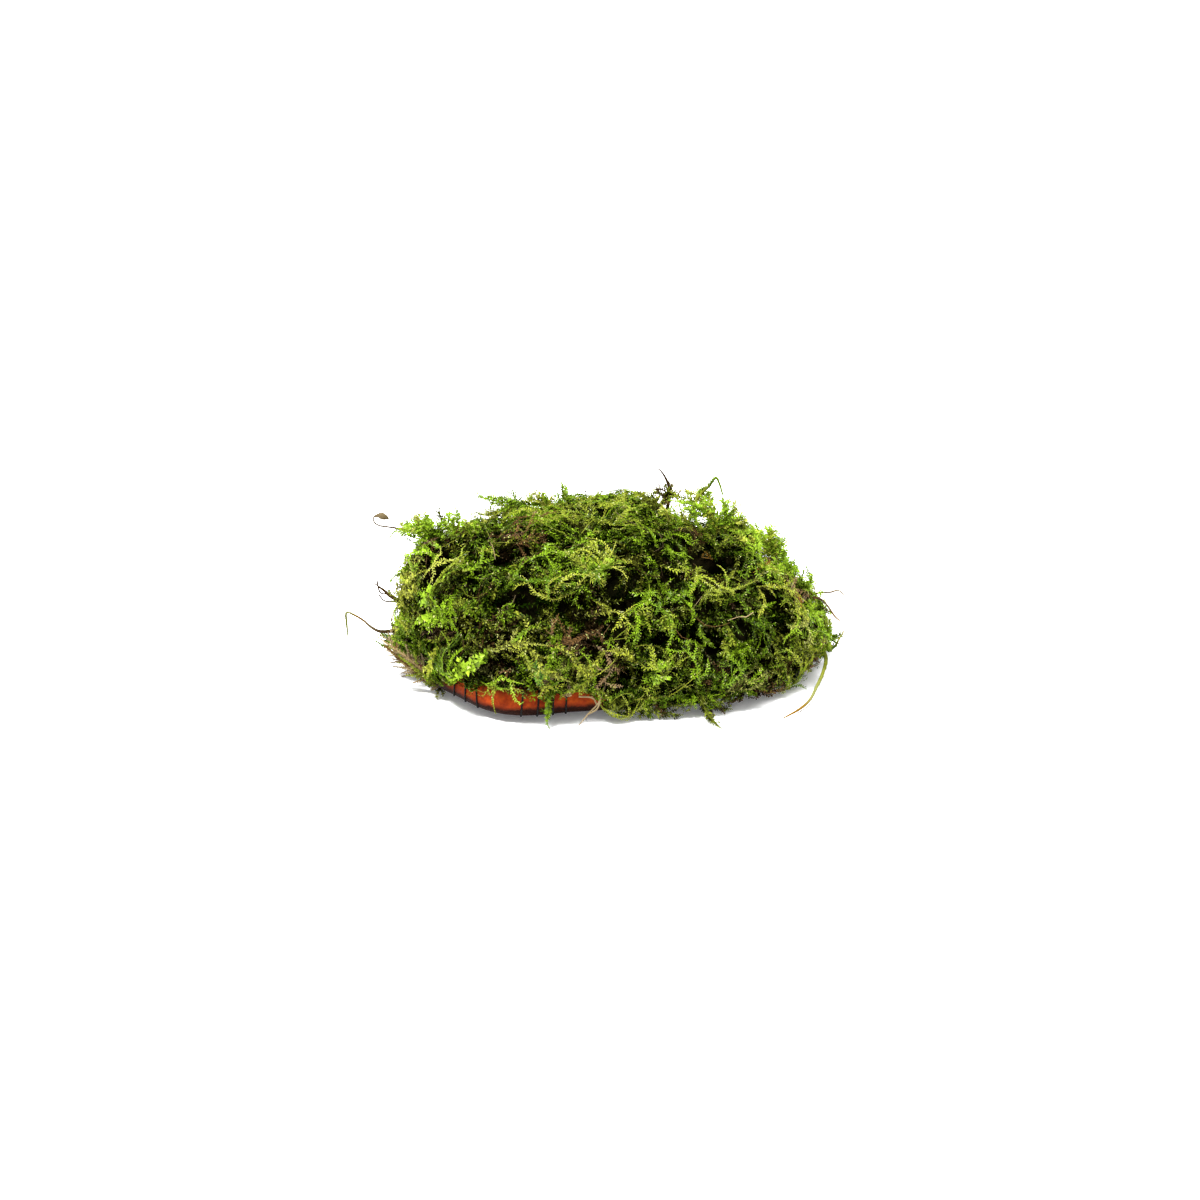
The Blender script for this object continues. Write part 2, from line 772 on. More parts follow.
PATCHES = (
    # feathers that catch the light
    *patches(FEATHER, LIME, (596, 569, 4.2, 0.68, -60, 1.3), (449, 522, 4.5, 1.0, 85, 1.5),
        (465, 666, 2.2, 0.9, 25, 1.2), (659, 668, 1.9, 0.85, 10, 1.0), (803, 582, 4.0, 1.0, -80, 1.0),
        (811, 618, 4.5, 1.0, -75, 1.0)),
    *patches(FEATHER, FRESH, (578, 574, 2.6, 0.85, -150, 1.0), (434, 610, 4.4, 0.8, -110, 1.0),
        (430, 592, 3.0, 0.8, 110, 0.8)),
    *patches(FEATHER, SEA, (542, 666, 3.2, 1.0, -60, 1.0)),
    # the mat
    *patches(MAT, LIME, (427, 540, 3.6, 1.3, 160, 0.9), (735, 525, 6.0, 0.95, -30, 1.2),
        (764, 570, 4.6, 0.95, -20, 0.8), (744, 535, 4.2, 1.05, 0, 0.8), (800, 622, 2.8, 0.9, -75, 0.5)),
    *patches(MAT, FRESH, (560, 548, 4.0, 0.75, -30, 0.4), (520, 522, 5.0, 0.9, 0, 0.4),
        (510, 643, 3.2, 0.6, -20, 0.4), (440, 660, 2.6, 0.95, -80, 0.5), (492, 529, 2.6, 0.9, 160, 0.4),
        (567, 537, 2.8, 1.0, -60, 0.4)),
    *patches(MAT, LEAF, (424, 655, 3.0, 0.9, -80, 0.5), (640, 520, 6.5, 0.62, None, 0.3),
        (664, 540, 4.4, 1.2, None, 0.4), (750, 665, 2.6, 0.3, 150), (532, 682, 3.0, 0.95, -80, 0.5),
        (706, 641, 3.0, 0.9, -80, 0.3), (772, 648, 2.6, 0.7, -80, 0.2), (462, 598, 3.0, 0.95, -60, 0.4),
        (500, 581, 3.2, 1.0, -20, 0.4), (648, 552, 4.2, 1.4, None, 0.3), (684, 594, 3.6, 0.9, -70, 0.3),
        (459, 581, 2.8, 1.3, -60, 0.4), (704, 679, 3.4, 1.1, -60, 0.5)),
    *patches(MAT, STRAW, (406, 614, 4.5, 1.1, 100, 0.6), (412, 580, 4.0, 1.05, 110, 0.6),
        (786, 590, 4.4, 0.75, -60, 0.6), (562, 590, 3.8, 0.85, -40, 0.4), (486, 643, 3.0, 0.65, -20, 0.4),
        (534, 648, 2.8, 0.8, -40, 0.5), (620, 653, 3.6, 0.95, -30, 0.4), (612, 519, 3.8, 0.8, 0, 0.4)),
    *patches(MAT, OLIVE, (722, 546, 3.4, 0.6, 10), (560, 643, 3.2, 0.35, None, -0.3),
        (612, 686, 3.0, 0.5, None, -0.2), (508, 680, 3.4, 0.8, -60, 0.5), (638, 630, 3.8, 0.85, -60, 0.4),
        (656, 606, 3.2, 1.0, -70, 0.4), (700, 589, 3.2, 0.7, 30, 0.3), (652, 690, 3.4, 0.9, -40, 0.3),
        (407, 640, 3.0, 0.6, None, -0.2), (668, 560, 4.4, 1.25, -60, 0.3), (814, 654, 2.6, 1.1, -60, 0.4),
        (600, 512, 7.0, 0.85, None, 0.4)),
    *patches(MAT, DEEP, (740, 656, 3.6, 0.4, None, -0.3), (707, 613, 3.2, 0.55, None, -0.3),
        (428, 633, 3.0, 0.5, None, -0.3)),
    *patches(MAT, TAN, (402, 648, 3.4, 0.8, 140, 0.2), (415, 663, 3.0, 0.7, 140, 0.2)),
    *patches(MAT, BROWN, (489, 540, 3.0, 0.8, 0, 0.6), (513, 540, 2.6, 0.9, 0, 0.6),
        (441, 562, 4.0, 0.5, 60, -0.4), (461, 629, 4.4, 0.45, None, -0.5),
        (593, 632, 4.2, 1.0, None, -0.2), (702, 556, 3.8, 0.6, None, -0.3),
        (765, 676, 5.0, 0.32, None, -0.3), (812, 643, 3.5, 0.48), (596, 608, 3.6, 1.1),
        (428, 676, 2.6, 0.8, 140, 0.2), (714, 704, 4.2, 0.7, None, -0.2),
        (424, 580, 2.6, 0.6, None, -0.2), (712, 577, 3.2, 0.4, None, -0.2),
        (797, 650, 2.4, 0.5, None, -0.2)),
    # hollows
    *patches(HOLLOW, DEEP, (661, 641, 2.0, 0.3), (779, 628, 1.5, 0.3)),
    *patches(HOLLOW, BROWN, (617, 607, 1.5, 0.5), (450, 556, 2.0, 0.3), (766, 669, 1.8, 0.3)),
    *patches(HOLLOW, HUMUS, (499, 601, 2.6, 0.2), (527, 603, 2.9, 0.2), (563, 604, 2.4, 0.2),
        (502, 655, 3.4, 0.15), (490, 668, 3.0, 0.15), (634, 676, 3.0, 0.15), (727, 605, 2.6, 0.2),
        (737, 563, 2.2, 0.2), (716, 648, 2.8, 0.2), (786, 640, 2.0, 0.2), (508, 552, 4.0, 0.2),
        (524, 551, 3.0, 0.2), (474, 592, 1.9, 0.2), (446, 572, 2.0, 0.2), (480, 573, 1.7, 0.2),
        (650, 526, 1.6, 0.2), (712, 562, 3.4, 0.2), (728, 566, 3.0, 0.2), (668, 585, 2.4, 0.2),
        (697, 634, 1.6, 0.2), (757, 654, 2.0, 0.2), (601, 543, 2.4, 0.3), (770, 603, 2.2, 0.2),
        (478, 617, 1.6, 0.2)),
)


BODY_EDGE_PX = (
    (405, 655), (397, 638), (402, 612), (405, 588), (411, 573), (418, 562), (425, 552), (435, 544),
    (456, 537), (476, 529), (492, 526), (506, 527), (518, 520), (532, 515), (552, 512), (585, 507),
    (620, 500), (637, 502), (654, 509), (668, 519), (676, 532), (692, 541), (708, 538), (722, 529),
    (737, 529), (751, 541), (764, 559), (780, 573), (799, 591), (811, 608), (823, 628), (826, 645),
    (818, 662), (802, 675), (777, 687), (748, 690), (724, 700), (700, 712), (640, 717), (612, 714),
    (602, 700), (580, 695), (560, 697), (540, 696), (525, 693), (512, 686), (490, 686), (480, 690),
    (466, 693), (452, 691), (438, 687), (424, 677), (414, 667),
)

WINDOWS_PX = (
    ((674, 508), (688, 506), (690, 520), (678, 522)),
    ((690, 510), (702, 514), (710, 524), (700, 530), (690, 522)),
    ((760, 547), (770, 548), (770, 559), (760, 558)),
    ((780, 556), (792, 564), (790, 572), (778, 564)),
)

RIM_PX = (
    (432, 686), (452, 692), (478, 691), (489, 686), (513, 686), (530, 694), (560, 697), (598, 699),
    (606, 716), (560, 722), (500, 718), (455, 704),
)


@dataclass
class GuideSurface:
    """The lumpy body of the clump, on which every frond takes its place."""

    voxel: float = 2.1 * MM
    fine_share: float = 0.9
    smoothing: int = 2
    fine_smoothing: int = 1
    smooth_factor: float = 0.5
    weld: float = 1e-6
    swell: float = 2.6 * MM
    swell_rate: float = 135.0
    lump_rate: float = 2.1
    lump_shift: tuple = (5, 2, 8)
    lump_share: float = 0.6
    ease: float = 0.3 * MM
    hollow_depth: float = 5.0 * MM
    hollow_reach: float = 1.4
    hollow_power: float = 0.7
    over_floor: float = 1.0 * MM

    def build(self, solid: bpy.types.Object, view: Viewpoint) -> GuideSurface:
        """Makes the surface.

        Args:
            solid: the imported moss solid, which is only read.
            view: the photograph's camera.

        Returns:
            This surface, ready to be asked for places.
        """
        self.mesh = self.remeshed(solid, self.voxel, self.smoothing)
        points, _ = arrays_of(self.mesh)
        self.mesh.vertices.foreach_set("co", view.drawn_in(points, BODY_EDGE_PX).ravel())
        drawn = link("drawn_guide", self.mesh)
        self.mesh = self.remeshed(drawn, self.fine_share * self.voxel, self.fine_smoothing)
        discard(drawn)
        self.index()
        return self

    def roughen(self, hollows: Sequence[tuple[Rows, float]]) -> None:
        """Gives the body its lumps and hollows.

        Args:
            hollows: the middle and radius of each hollow that the photograph shows.
        """
        points, normals = arrays_of(self.mesh)
        for row, (place, out) in enumerate(zip(points, normals)):
            spot = Vector(place) * self.swell_rate
            lumps = noise.noise(spot * self.lump_rate + Vector(self.lump_shift))
            sink = self.ease - self.swell * (noise.noise(spot) + self.lump_share * lumps)
            for middle, radius in hollows:
                near = 1.0 - np.linalg.norm(place - middle) / (self.hollow_reach * radius)
                sink += self.hollow_depth * max(0.0, near) ** self.hollow_power
            points[row] = place - out * min(sink, max(place[2], 0.0) + self.over_floor)
        points[:, 2] = np.maximum(points[:, 2], FLOOR_GAP)
        self.mesh.vertices.foreach_set("co", points.ravel())
        self.index()

    def index(self) -> None:
        """Makes the surface's points and faces ready for searches."""
        self.mesh.update()
        self.points, self.normals = arrays_of(self.mesh)
        self.mesh.calc_loop_triangles()
        self.corners = np.array([t.vertices[:] for t in self.mesh.loop_triangles])
        a, b, c = (self.points[self.corners[:, k]] for k in range(3))
        area = np.linalg.norm(np.cross(b - a, c - a), axis=1)
        self.spread = np.cumsum(area) / area.sum()
        self.tree = BVHTree.FromPolygons(self.points.tolist(), self.corners.tolist())

    def remeshed(self, solid: bpy.types.Object, voxel: float, smoothing: int) -> bpy.types.Mesh:
        """An even mesh round the solid, without its thin tufts."""
        copy = link("guide", solid.data.copy())
        bm = bmesh.new()
        bm.from_mesh(copy.data)
        bmesh.ops.remove_doubles(bm, verts=bm.verts, dist=self.weld)
        bm.to_mesh(copy.data)
        bm.free()
        even = copy.modifiers.new("even", "REMESH")
        even.mode, even.voxel_size = "VOXEL", voxel
        soft = copy.modifiers.new("soft", "SMOOTH")
        soft.factor, soft.iterations = self.smooth_factor, smoothing
        mesh = evaluated_mesh(copy)
        discard(copy)
        keep_largest(mesh)
        return mesh

    def scatter(self, count: int, rng: Draws) -> Rows:
        """Evenly likely places on the surface."""
        rows = np.searchsorted(self.spread, rng.random(count))
        u, v = rng.random((2, count, 1))
        flip = (u + v) > 1
        u, v = np.where(flip, 1 - u, u), np.where(flip, 1 - v, v)
        corners = self.corners[np.minimum(rows, len(self.corners) - 1)]
        a, b, c = (self.points[corners[:, k]] for k in range(3))
        return a + (b - a) * u + (c - a) * v

    def nearest(self, place: Rows) -> tuple[Rows, Rows]:
        """The closest point of the surface, and the way out from it."""
        found, _, face, _ = self.tree.find_nearest(Vector(place))
        normal = self.normals[self.corners[face]].sum(axis=0)
        return np.array(found), normal / max(np.linalg.norm(normal), 1e-9)

    def seen_at(self, view: Viewpoint, across_px: float, down_px: float) -> Optional[Rows]:
        """The place that this pixel shows, or nothing when it misses the clump."""
        hit = self.tree.ray_cast(Vector(view.place), Vector(view.ray(across_px, down_px)))[0]
        return None if hit is None else np.array(hit)


@dataclass
class Guides:
    """Centrelines of fronds, gathered before the node tree turns them into leaves."""

    points: list = field(default_factory=list)
    facing: list = field(default_factory=list)
    tone: list = field(default_factory=list)
    light: list = field(default_factory=list)
    leaf: list = field(default_factory=list)
    girth: list = field(default_factory=list)

    def add(self, points: Rows, facing: Rows, **values: Any) -> None:
        """Adds one centreline, with its tone, light, leaf and girth, each a number or a row."""
        self.points.append(points)
        self.facing.append(facing)
        for key, value in values.items():
            getattr(self, key).append(np.broadcast_to(value, len(points)))

    def mesh(self, name: str) -> bpy.types.Mesh:
        """The centrelines as edges, with their values as attributes."""
        edges, start = [], 0
        for line in self.points:
            edges += [(start + k, start + k + 1) for k in range(len(line) - 1)]
            start += len(line)
        mesh = bpy.data.meshes.new(name)
        mesh.from_pydata(np.concatenate(self.points).tolist(), edges, [])
        for key in ("tone", "light", "leaf", "girth"):
            made = mesh.attributes.new(key, "FLOAT", "POINT")
            made.data.foreach_set("value", np.concatenate(getattr(self, key)).astype(np.float32))
        made = mesh.attributes.new("facing", "FLOAT_VECTOR", "POINT")
        made.data.foreach_set("vector", np.concatenate(self.facing).astype(np.float32).ravel())
        return mesh


class FrondTree(PathTree):
    """The node tree that sets leaves along centrelines.

    ROLL to GLINT are random ranges, each with the number that sets its draws apart.
    """

    NAME = "leafy_frond"
    INPUTS = (
        ("Leaf Spacing", "NodeSocketFloat", 0.25 * MM),
        ("Leaf Splay", "NodeSocketFloat", 0.85),
        ("Leaf Width", "NodeSocketFloat", 0.5),
        ("Leaf Fold", "NodeSocketFloat", 0.16),
        ("Leaf Arch", "NodeSocketFloat", 0.12),
        ("Glint Share", "NodeSocketFloat", 0.08),
        ("Stem Step", "NodeSocketFloat", 2.0 * MM),
        ("Stem Sides", "NodeSocketInt", 3),
        ("Seed", "NodeSocketInt", 1),
    )
    SPARE = ("tone", "light", "leaf", "girth", "facing", "blade", "stem_share", "ring_share")
    ROLL = (0.75, 1.75, 11)
    SPLAY = (-0.28, 0.28, 23)
    TILT = ((-0.6, 0.6, 31), (-0.6, 0.6, 37), (-0.4, 0.7, 41))
    SIZE = (0.75, 1.25, 53)
    LIGHT = (-0.46, 0.36, 61)
    GLINT = (0.0, 1.0, 71)
    GLINT_SIZE, GLINT_LIFT, GLINT_MOST = 0.35, 1.2, 0.5
    ROOT_SIZE, ROOT_BAND = 0.6, (0.0, 0.2)
    TIP_SIZE, TIP_BAND = 0.35, (-0.02, 0.35)
    WAIST = 0.12
    STEM_BAND = 0.3
    TONE_RUN, LIGHT_RUN, LIGHT_MIDDLE = 0.002, 0.34, 0.45
    MAP_EDGE = (0.004, 0.996)

    def chance(self, low: float, high: float, salt: int) -> Sock:
        """A random number for each point."""
        names = {"Min": low, "Max": high, "Seed": self.given["Seed"] + salt}
        return self.graph.node("FunctionNodeRandomValue", {"data_type": "FLOAT"}, names, "Value")

    def share(self) -> Sock:
        """How far along its line each point lies, from 0 to 1."""
        return self.graph.node("GeometryNodeSplineParameter", {}, {}, "Factor")

    def shape(self, curve: Sock) -> Sock:
        """Leaves and stems along smooth centrelines."""
        settings = {"spline_type": "CATMULL_ROM"}
        curve = self.graph.node("GeometryNodeCurveSplineType", settings, {"Curve": curve})
        both = [self.leaves(curve), self.stems(curve)]
        return self.graph.node("GeometryNodeJoinGeometry", {}, {"Geometry": both})

    def blade(self) -> Sock:
        """One folded, pointed leaf of length 1 along Y."""
        graph, given = self.graph, self.given
        sizes = {"Size X": 1.0, "Size Y": 1.0, "Vertices X": 2, "Vertices Y": 2}
        grid = graph.node("GeometryNodeMeshGrid", {}, sizes)
        grid = graph.node("GeometryNodeTriangulate", {"quad_method": "FIXED"}, {"Mesh": grid})
        place = graph.node("GeometryNodeInputPosition", {}, {})
        x, y = place.part("X"), place.part("Y")
        across, side = x - y, (x - y).maths("ABSOLUTE")
        along = 0.5 + (x + y) * 0.5 - side * self.WAIST
        height = side * given["Leaf Fold"] - along * along * given["Leaf Arch"]
        shape = graph.combined(across * given["Leaf Width"] * 0.5, along, height)
        kept = graph.store(grid, "blade", graph.combined(across * 0.5 + 0.5, along), "FLOAT_VECTOR")
        return graph.node("GeometryNodeSetPosition", {}, {"Geometry": kept, "Position": shape})

    def leaves(self, curve: Sock) -> Sock:
        """Leaves that alternate along both sides of every frond."""
        graph, given = self.graph, self.given
        ahead = graph.node("GeometryNodeInputTangent", {}, {})
        side = ahead.vector("CROSS_PRODUCT", graph.read("facing", "FLOAT_VECTOR")).vector("NORMALIZE")
        out = side.vector("CROSS_PRODUCT", ahead)
        turn = (graph.node("GeometryNodeInputIndex", {}, {}) % 2) * 2.0 - 1.0
        roll, splay = self.chance(*self.ROLL), given["Leaf Splay"] + self.chance(*self.SPLAY)
        sideways = side.vector("SCALE", turn * roll.maths("SINE"))
        away = sideways.vector("ADD", out.vector("SCALE", roll.maths("COSINE")))
        aim = ahead.vector("SCALE", splay.maths("COSINE"))
        aim = aim.vector("ADD", away.vector("SCALE", splay.maths("SINE")))
        tilt = graph.combined(*(self.chance(*axis) for axis in self.TILT))
        turned = graph.node(
            "FunctionNodeAxesToRotation",
            {"primary_axis": "Y", "secondary_axis": "Z"},
            {"Primary Axis": aim, "Secondary Axis": out.vector("ADD", tilt)},
        )
        share = self.share()
        at_tip, at_root = (1.0 - share).ramp(*self.TIP_BAND), share.ramp(*self.ROOT_BAND)
        taper = self.TIP_SIZE + at_tip * (1.0 - self.TIP_SIZE)
        taper = taper * (self.ROOT_SIZE + at_root * (1.0 - self.ROOT_SIZE))
        glint = self.chance(*self.GLINT).maths("LESS_THAN", given["Glint Share"])
        size = graph.read("leaf") * taper * self.chance(*self.SIZE) * (1.0 - glint * self.GLINT_SIZE)
        light, tone = graph.read("light"), graph.read("tone")
        tone = tone + glint * (CREAM.value - tone)
        lift = (light * self.GLINT_LIFT).clamp(0.0, self.GLINT_MOST)
        light = light + self.chance(*self.LIGHT) + glint * lift
        seats = graph.store(self.even(curve, "Leaf Spacing"), "tone", tone)
        seats = graph.store(seats, "light", light)
        return graph.node(
            "GeometryNodeInstanceOnPoints",
            {},
            {"Points": seats, "Selection": size.maths("GREATER_THAN", LEAST_LEAF),
             "Instance": self.blade(), "Rotation": turned, "Scale": size},
        )

    def stems(self, curve: Sock) -> Sock:
        """A thin stem of a few sides along every frond."""
        graph = self.graph
        coarse = graph.store(self.even(curve, "Stem Step"), "stem_share", self.share())
        ring = graph.store(self.ring(self.given["Stem Sides"]), "ring_share", self.share())
        tube = self.tube(coarse, ring, graph.read("girth"))
        turn, along = graph.read("ring_share"), graph.read("stem_share")
        place = graph.combined(turn, along * self.STEM_BAND + turn * turn * self.STEM_BAND)
        return graph.store(tube, "blade", place, "FLOAT_VECTOR")

    def mapped(self, geometry: Sock) -> Sock:
        """The map that the finish reads: tone across, light up, each leaf on its own small area."""
        graph = self.graph
        local = graph.read("blade", "FLOAT_VECTOR")
        tone = graph.read("tone") + local.part("X") * self.TONE_RUN
        light = graph.read("light") + (local.part("Y") - self.LIGHT_MIDDLE) * self.LIGHT_RUN
        place = graph.combined(tone.clamp(*self.MAP_EDGE), light.clamp(*self.MAP_EDGE))
        return graph.store(geometry, TONE_MAP, place, "FLOAT2", "CORNER")

    def grow(
        self, name: str, guides: Guides, finish: bpy.types.Material, **sizes: float
    ) -> bpy.types.Object:
        """Turns centrelines into one plain mesh of fronds.

        Args:
            name: the piece's name.
            guides: the centrelines.
            finish: the finish of the fronds.
            sizes: values for the tree's inputs, with _ for a space.

        Returns:
            The piece's object.
        """
        mesh = self.run(guides.mesh(name + "_guides"), finish, **sizes)
        for spare in [a.name for a in mesh.attributes if a.name in self.SPARE]:
            mesh.attributes.remove(mesh.attributes[spare])
        mesh.name = name
        return link(name, mesh)


@dataclass(frozen=True)
class Growth:
    """How one layer of fronds grows."""

    clumps: int
    fronds: tuple[int, int]
    length: tuple[float, float]
    root_depth: float
    peak: tuple[float, float]
    tip: tuple[float, float]
    leaf: tuple[float, float]
    girth: float
    fan_deg: float = 35.0
    curl_deg: float = 9.0
    spread: float = 3.0 * MM
    light: tuple[float, float] = (0.05, 0.75)
    branches: int = 0
    steps: int = 7
    spacing: float = 0.3 * MM
    width: float = 0.45


@dataclass(frozen=True)
class Twigs:
    """How side branches leave a frond, and what they take of its length, leaf and girth."""

    angle_deg: float
    angle_spread_deg: float
    length: tuple[float, float]
    tone_spread: float
    light: tuple[float, float]
    leaf: float
    girth: float = 0.6


@dataclass
class Clump:
    """Where a clump of fronds grows, how it lies and how it looks."""

    place: Rows
    out: Rows
    aim: Rows
    tone: float
    light: float
    lift: float = 0.0
    room: float = 1.0


@dataclass
class MossMat:
    """The living moss: layers of fronds over a dark, matted core.

    A row of the mosaic is a value's upper limit, the tone below it and its light. A row of the open
    kinds is a piece, the least and most of its leaves in mm, their spacing and their width.
    """

    deep: Growth = Growth(
        clumps=390, fronds=(3, 5), length=(6 * MM, 12 * MM), root_depth=4.5 * MM,
        peak=(-2.0 * MM, -0.4 * MM), tip=(-2.2 * MM, -0.4 * MM), leaf=(1.0 * MM, 1.4 * MM),
        girth=0.10 * MM, fan_deg=80, light=(-0.2, 0.10), spacing=0.56 * MM, width=0.62,
    )
    mat: Growth = Growth(
        clumps=1010, fronds=(2, 4), length=(5 * MM, 13 * MM), root_depth=3.0 * MM,
        peak=(-1.0 * MM, 1.3 * MM), tip=(-1.2 * MM, 1.5 * MM), leaf=(0.80 * MM, 1.20 * MM),
        girth=0.10 * MM, fan_deg=55, curl_deg=14, spread=2.2 * MM, light=(-0.2, 1.05),
        branches=3, spacing=0.385 * MM, width=0.47,
    )
    fringe: Growth = Growth(
        clumps=500, fronds=(1, 2), length=(4 * MM, 10 * MM), root_depth=2.0 * MM,
        peak=(0.4 * MM, 2.0 * MM), tip=(1.0 * MM, 3.8 * MM), leaf=(0.60 * MM, 0.95 * MM),
        girth=0.09 * MM, fan_deg=60, curl_deg=16, spread=2.0 * MM, light=(0.25, 1.15),
        branches=3, spacing=0.33 * MM, width=0.42,
    )
    wiry: Growth = Growth(
        clumps=260, fronds=(1, 2), length=(6 * MM, 16 * MM), root_depth=2.0 * MM,
        peak=(0.2 * MM, 1.8 * MM), tip=(0.0 * MM, 2.6 * MM), leaf=(0.25 * MM, 0.50 * MM),
        girth=0.12 * MM, fan_deg=90, curl_deg=18, spread=2.0 * MM, light=(0.25, 0.9),
        spacing=0.6 * MM, width=0.40,
    )
    runner: Growth = Growth(
        clumps=300, fronds=(1, 2), length=(11 * MM, 22 * MM), root_depth=2.0 * MM,
        peak=(0.6 * MM, 2.0 * MM), tip=(0.2 * MM, 2.6 * MM), leaf=(0.75 * MM, 1.10 * MM),
        girth=0.12 * MM, fan_deg=75, curl_deg=13, spread=2.0 * MM, light=(0.25, 1.2),
        branches=6, steps=9, spacing=0.34 * MM, width=0.44,
    )
    mat_twigs: Twigs = Twigs(48, 12, (0.20, 0.42), 0.008, (-0.05, 0.16), 0.82)
    open_twigs: Twigs = Twigs(50, 9, (0.20, 0.36), 0.015, (-0.05, 0.12), 0.8)
    twig_steps: int = 4
    under_rate: float = 420.0
    under_depth: tuple[float, float] = (0.9 * MM, 3.2 * MM)
    top: float = 43.0 * MM
    bottom: float = 0.8 * MM
    foot_gap: float = 0.4 * MM
    behind: float = 17.0 * MM
    most_step: float = 1.2
    most_lean: float = 0.8
    open_light: float = 1.13
    root_glow: float = 0.6
    tip_glow: float = 0.4
    root_girth: float = 1.2
    girth_loss: float = 0.7
    first_fork: float = 0.15
    fork_run: float = 0.75
    root_reach: float = 1.15
    reach_loss: float = 0.6
    twig_bend: float = 0.4
    twig_sway_mm: tuple[float, float] = (-0.8, 0.5)
    open_seed: int = 59
    open_kinds: tuple = (
        ("moss_open_fronds", 0.0, 1.4, 0.26 * MM, 0.44),
        ("moss_broad_fronds", 1.4, 9.0, 0.50 * MM, 0.70),
    )
    mosaic: tuple = (
        (-0.50, BROWN, 1.0), (-0.34, OLIVE, 0.9), (-0.14, LEAF, 0.9), (0.04, OLIVE, 1.0),
        (0.16, DEEP, 1.2), (0.34, LEAF, 1.0), (0.48, STRAW, 0.9), (0.62, FRESH, 0.95), (9.0, LIME, 0.9),
    )
    wiry_tones: tuple = (TAN, BROWN, STRAW, OLIVE, OLIVE)
    region_rate: float = 75.0
    region_share: float = 0.7
    fleck_rate: float = 190.0
    fleck_shift: tuple = (7, 3, 1)
    fleck_share: float = 0.6
    fleck_spread: float = 0.24
    glow_rate: float = 230.0
    glow_shift: tuple = (3, 9, 4)
    glow_middle: float = 0.62
    glow_swing: float = 0.95
    glow_range: tuple[float, float] = (0.22, 1.1)
    dim_foot: float = 0.28
    dim_from: float = 3.0 * MM
    dim_run: float = 13.0 * MM
    depth_stretch: float = 1.2
    outward: float = 0.6
    droop: float = 0.75
    lie_spread_deg: float = 62.0
    wander_deg: float = 7.0
    crest: float = 0.45
    rise_power: float = 0.7
    fall_power: float = 1.5
    girth_ends: tuple[float, float] = (1.3, 0.5)
    twig_peak_mm: tuple[float, float] = (-0.3, 0.9)
    twig_tip_mm: tuple[float, float] = (-0.8, 0.9)
    tone_spread: float = 0.012
    patch_tone_spread: float = 0.01
    light_spread: float = 0.13
    feather_room: float = 1.3
    hollow_odds: float = 0.95
    opening_odds: float = 0.9
    lit_from: float = 3.0 * MM
    lit_run: float = 4.6 * MM
    lit_power: float = 2.2
    seat_seed: int = 5

    def build(self, surface: GuideSurface, view: Viewpoint) -> None:
        """Grows every layer.

        Args:
            surface: where the fronds take their places.
            view: the photograph's camera, which places the patches.
        """
        self.surface, self.view = surface, view
        self.moss, self.tree = MossFinish().build(), FrondTree()
        spots = [(patch, surface.seen_at(view, patch.across_px, patch.down_px)) for patch in PATCHES]
        spots = [(patch, place) for patch, place in spots if place is not None]
        self.patches = [patch for patch, _ in spots]
        self.middles = np.array([place for _, place in spots])
        self.radii = np.array([patch.radius_mm for patch in self.patches]) * MM
        self.hollow = np.array([patch.cover is HOLLOW for patch in self.patches])
        layers = (self.deep, self.mat, self.fringe, self.runner, self.wiry)
        self.seats = surface.scatter(sum(g.clumps for g in layers), np.random.default_rng(self.seat_seed))
        surface.roughen(list(zip(self.middles[self.hollow], self.radii[self.hollow])))
        self.build_under_layer()
        self.grow_layer("moss_deep_fronds", self.deep, seed=11, sectors=2)
        self.grow_layer("moss_fronds", self.mat, seed=23, sectors=5)
        self.grow_layer("moss_fringe", self.fringe, seed=37, sectors=1)
        self.grow_layer("moss_runners", self.runner, seed=47, sectors=2)
        self.grow_layer("moss_wiry_stems", self.wiry, seed=41, sectors=1)
        self.grow_open_fronds()

    def build_under_layer(self) -> None:
        """The dark core that closes every gap between the fronds."""
        bm = bmesh.new()
        bm.from_mesh(self.surface.mesh)
        bmesh.ops.triangulate(bm, faces=bm.faces)
        for face in bm.faces:
            face.smooth = True
        mesh = bpy.data.meshes.new("moss_under_layer")
        bm.to_mesh(mesh)
        bm.free()
        points, normals = arrays_of(mesh)
        low, high = self.under_depth
        for row, (place, out) in enumerate(zip(points, normals)):
            wave = noise.noise(Vector(place) * self.under_rate) * 0.5 + 0.5
            sunk = place - out * (low + (high - low) * wave)
            found, away = self.surface.nearest(sunk)
            points[row] = found - away * low if (sunk - found).dot(away) > -low / 2 else sunk
        points[:, 2] = np.maximum(points[:, 2], FLOOR_GAP)
        mesh.vertices.foreach_set("co", points.ravel())
        mesh.materials.clear()
        mesh.materials.append(HumusFinish().build())
        hand_over(link("moss_under_layer", mesh), "green_moss", "moss_clump")

    # Where the tones lie

    def tone_at(self, place: Rows, rng: Draws) -> tuple[float, float]:
        """The tone and light of the open mat at this place."""
        spot = Vector(place)
        value = noise.noise(spot * self.region_rate) * self.region_share
        value += noise.noise(spot * self.fleck_rate + Vector(self.fleck_shift)) * self.fleck_share
        value += rng.normal(0, self.fleck_spread)
        wave = noise.noise(spot * self.glow_rate + Vector(self.glow_shift))
        glow = self.glow_middle + self.glow_swing * wave
        tone, light = next((tone, light) for limit, tone, light in self.mosaic if value < limit)
        foot = float(np.clip((place[2] - self.dim_from) / self.dim_run, 0.0, 1.0))
        light *= float(np.clip(glow, *self.glow_range)) * (1.0 - self.dim_foot * (1.0 - foot))
        return tone.value + rng.normal(0, self.tone_spread), light

    def patch_at(self, place: Rows) -> Optional[Patch]:
        """The patch that this place belongs to."""
        gap = np.linalg.norm(self.middles - place, axis=1) / self.radii
        best = int(gap.argmin())
        return self.patches[best] if gap[best] < 1 else None

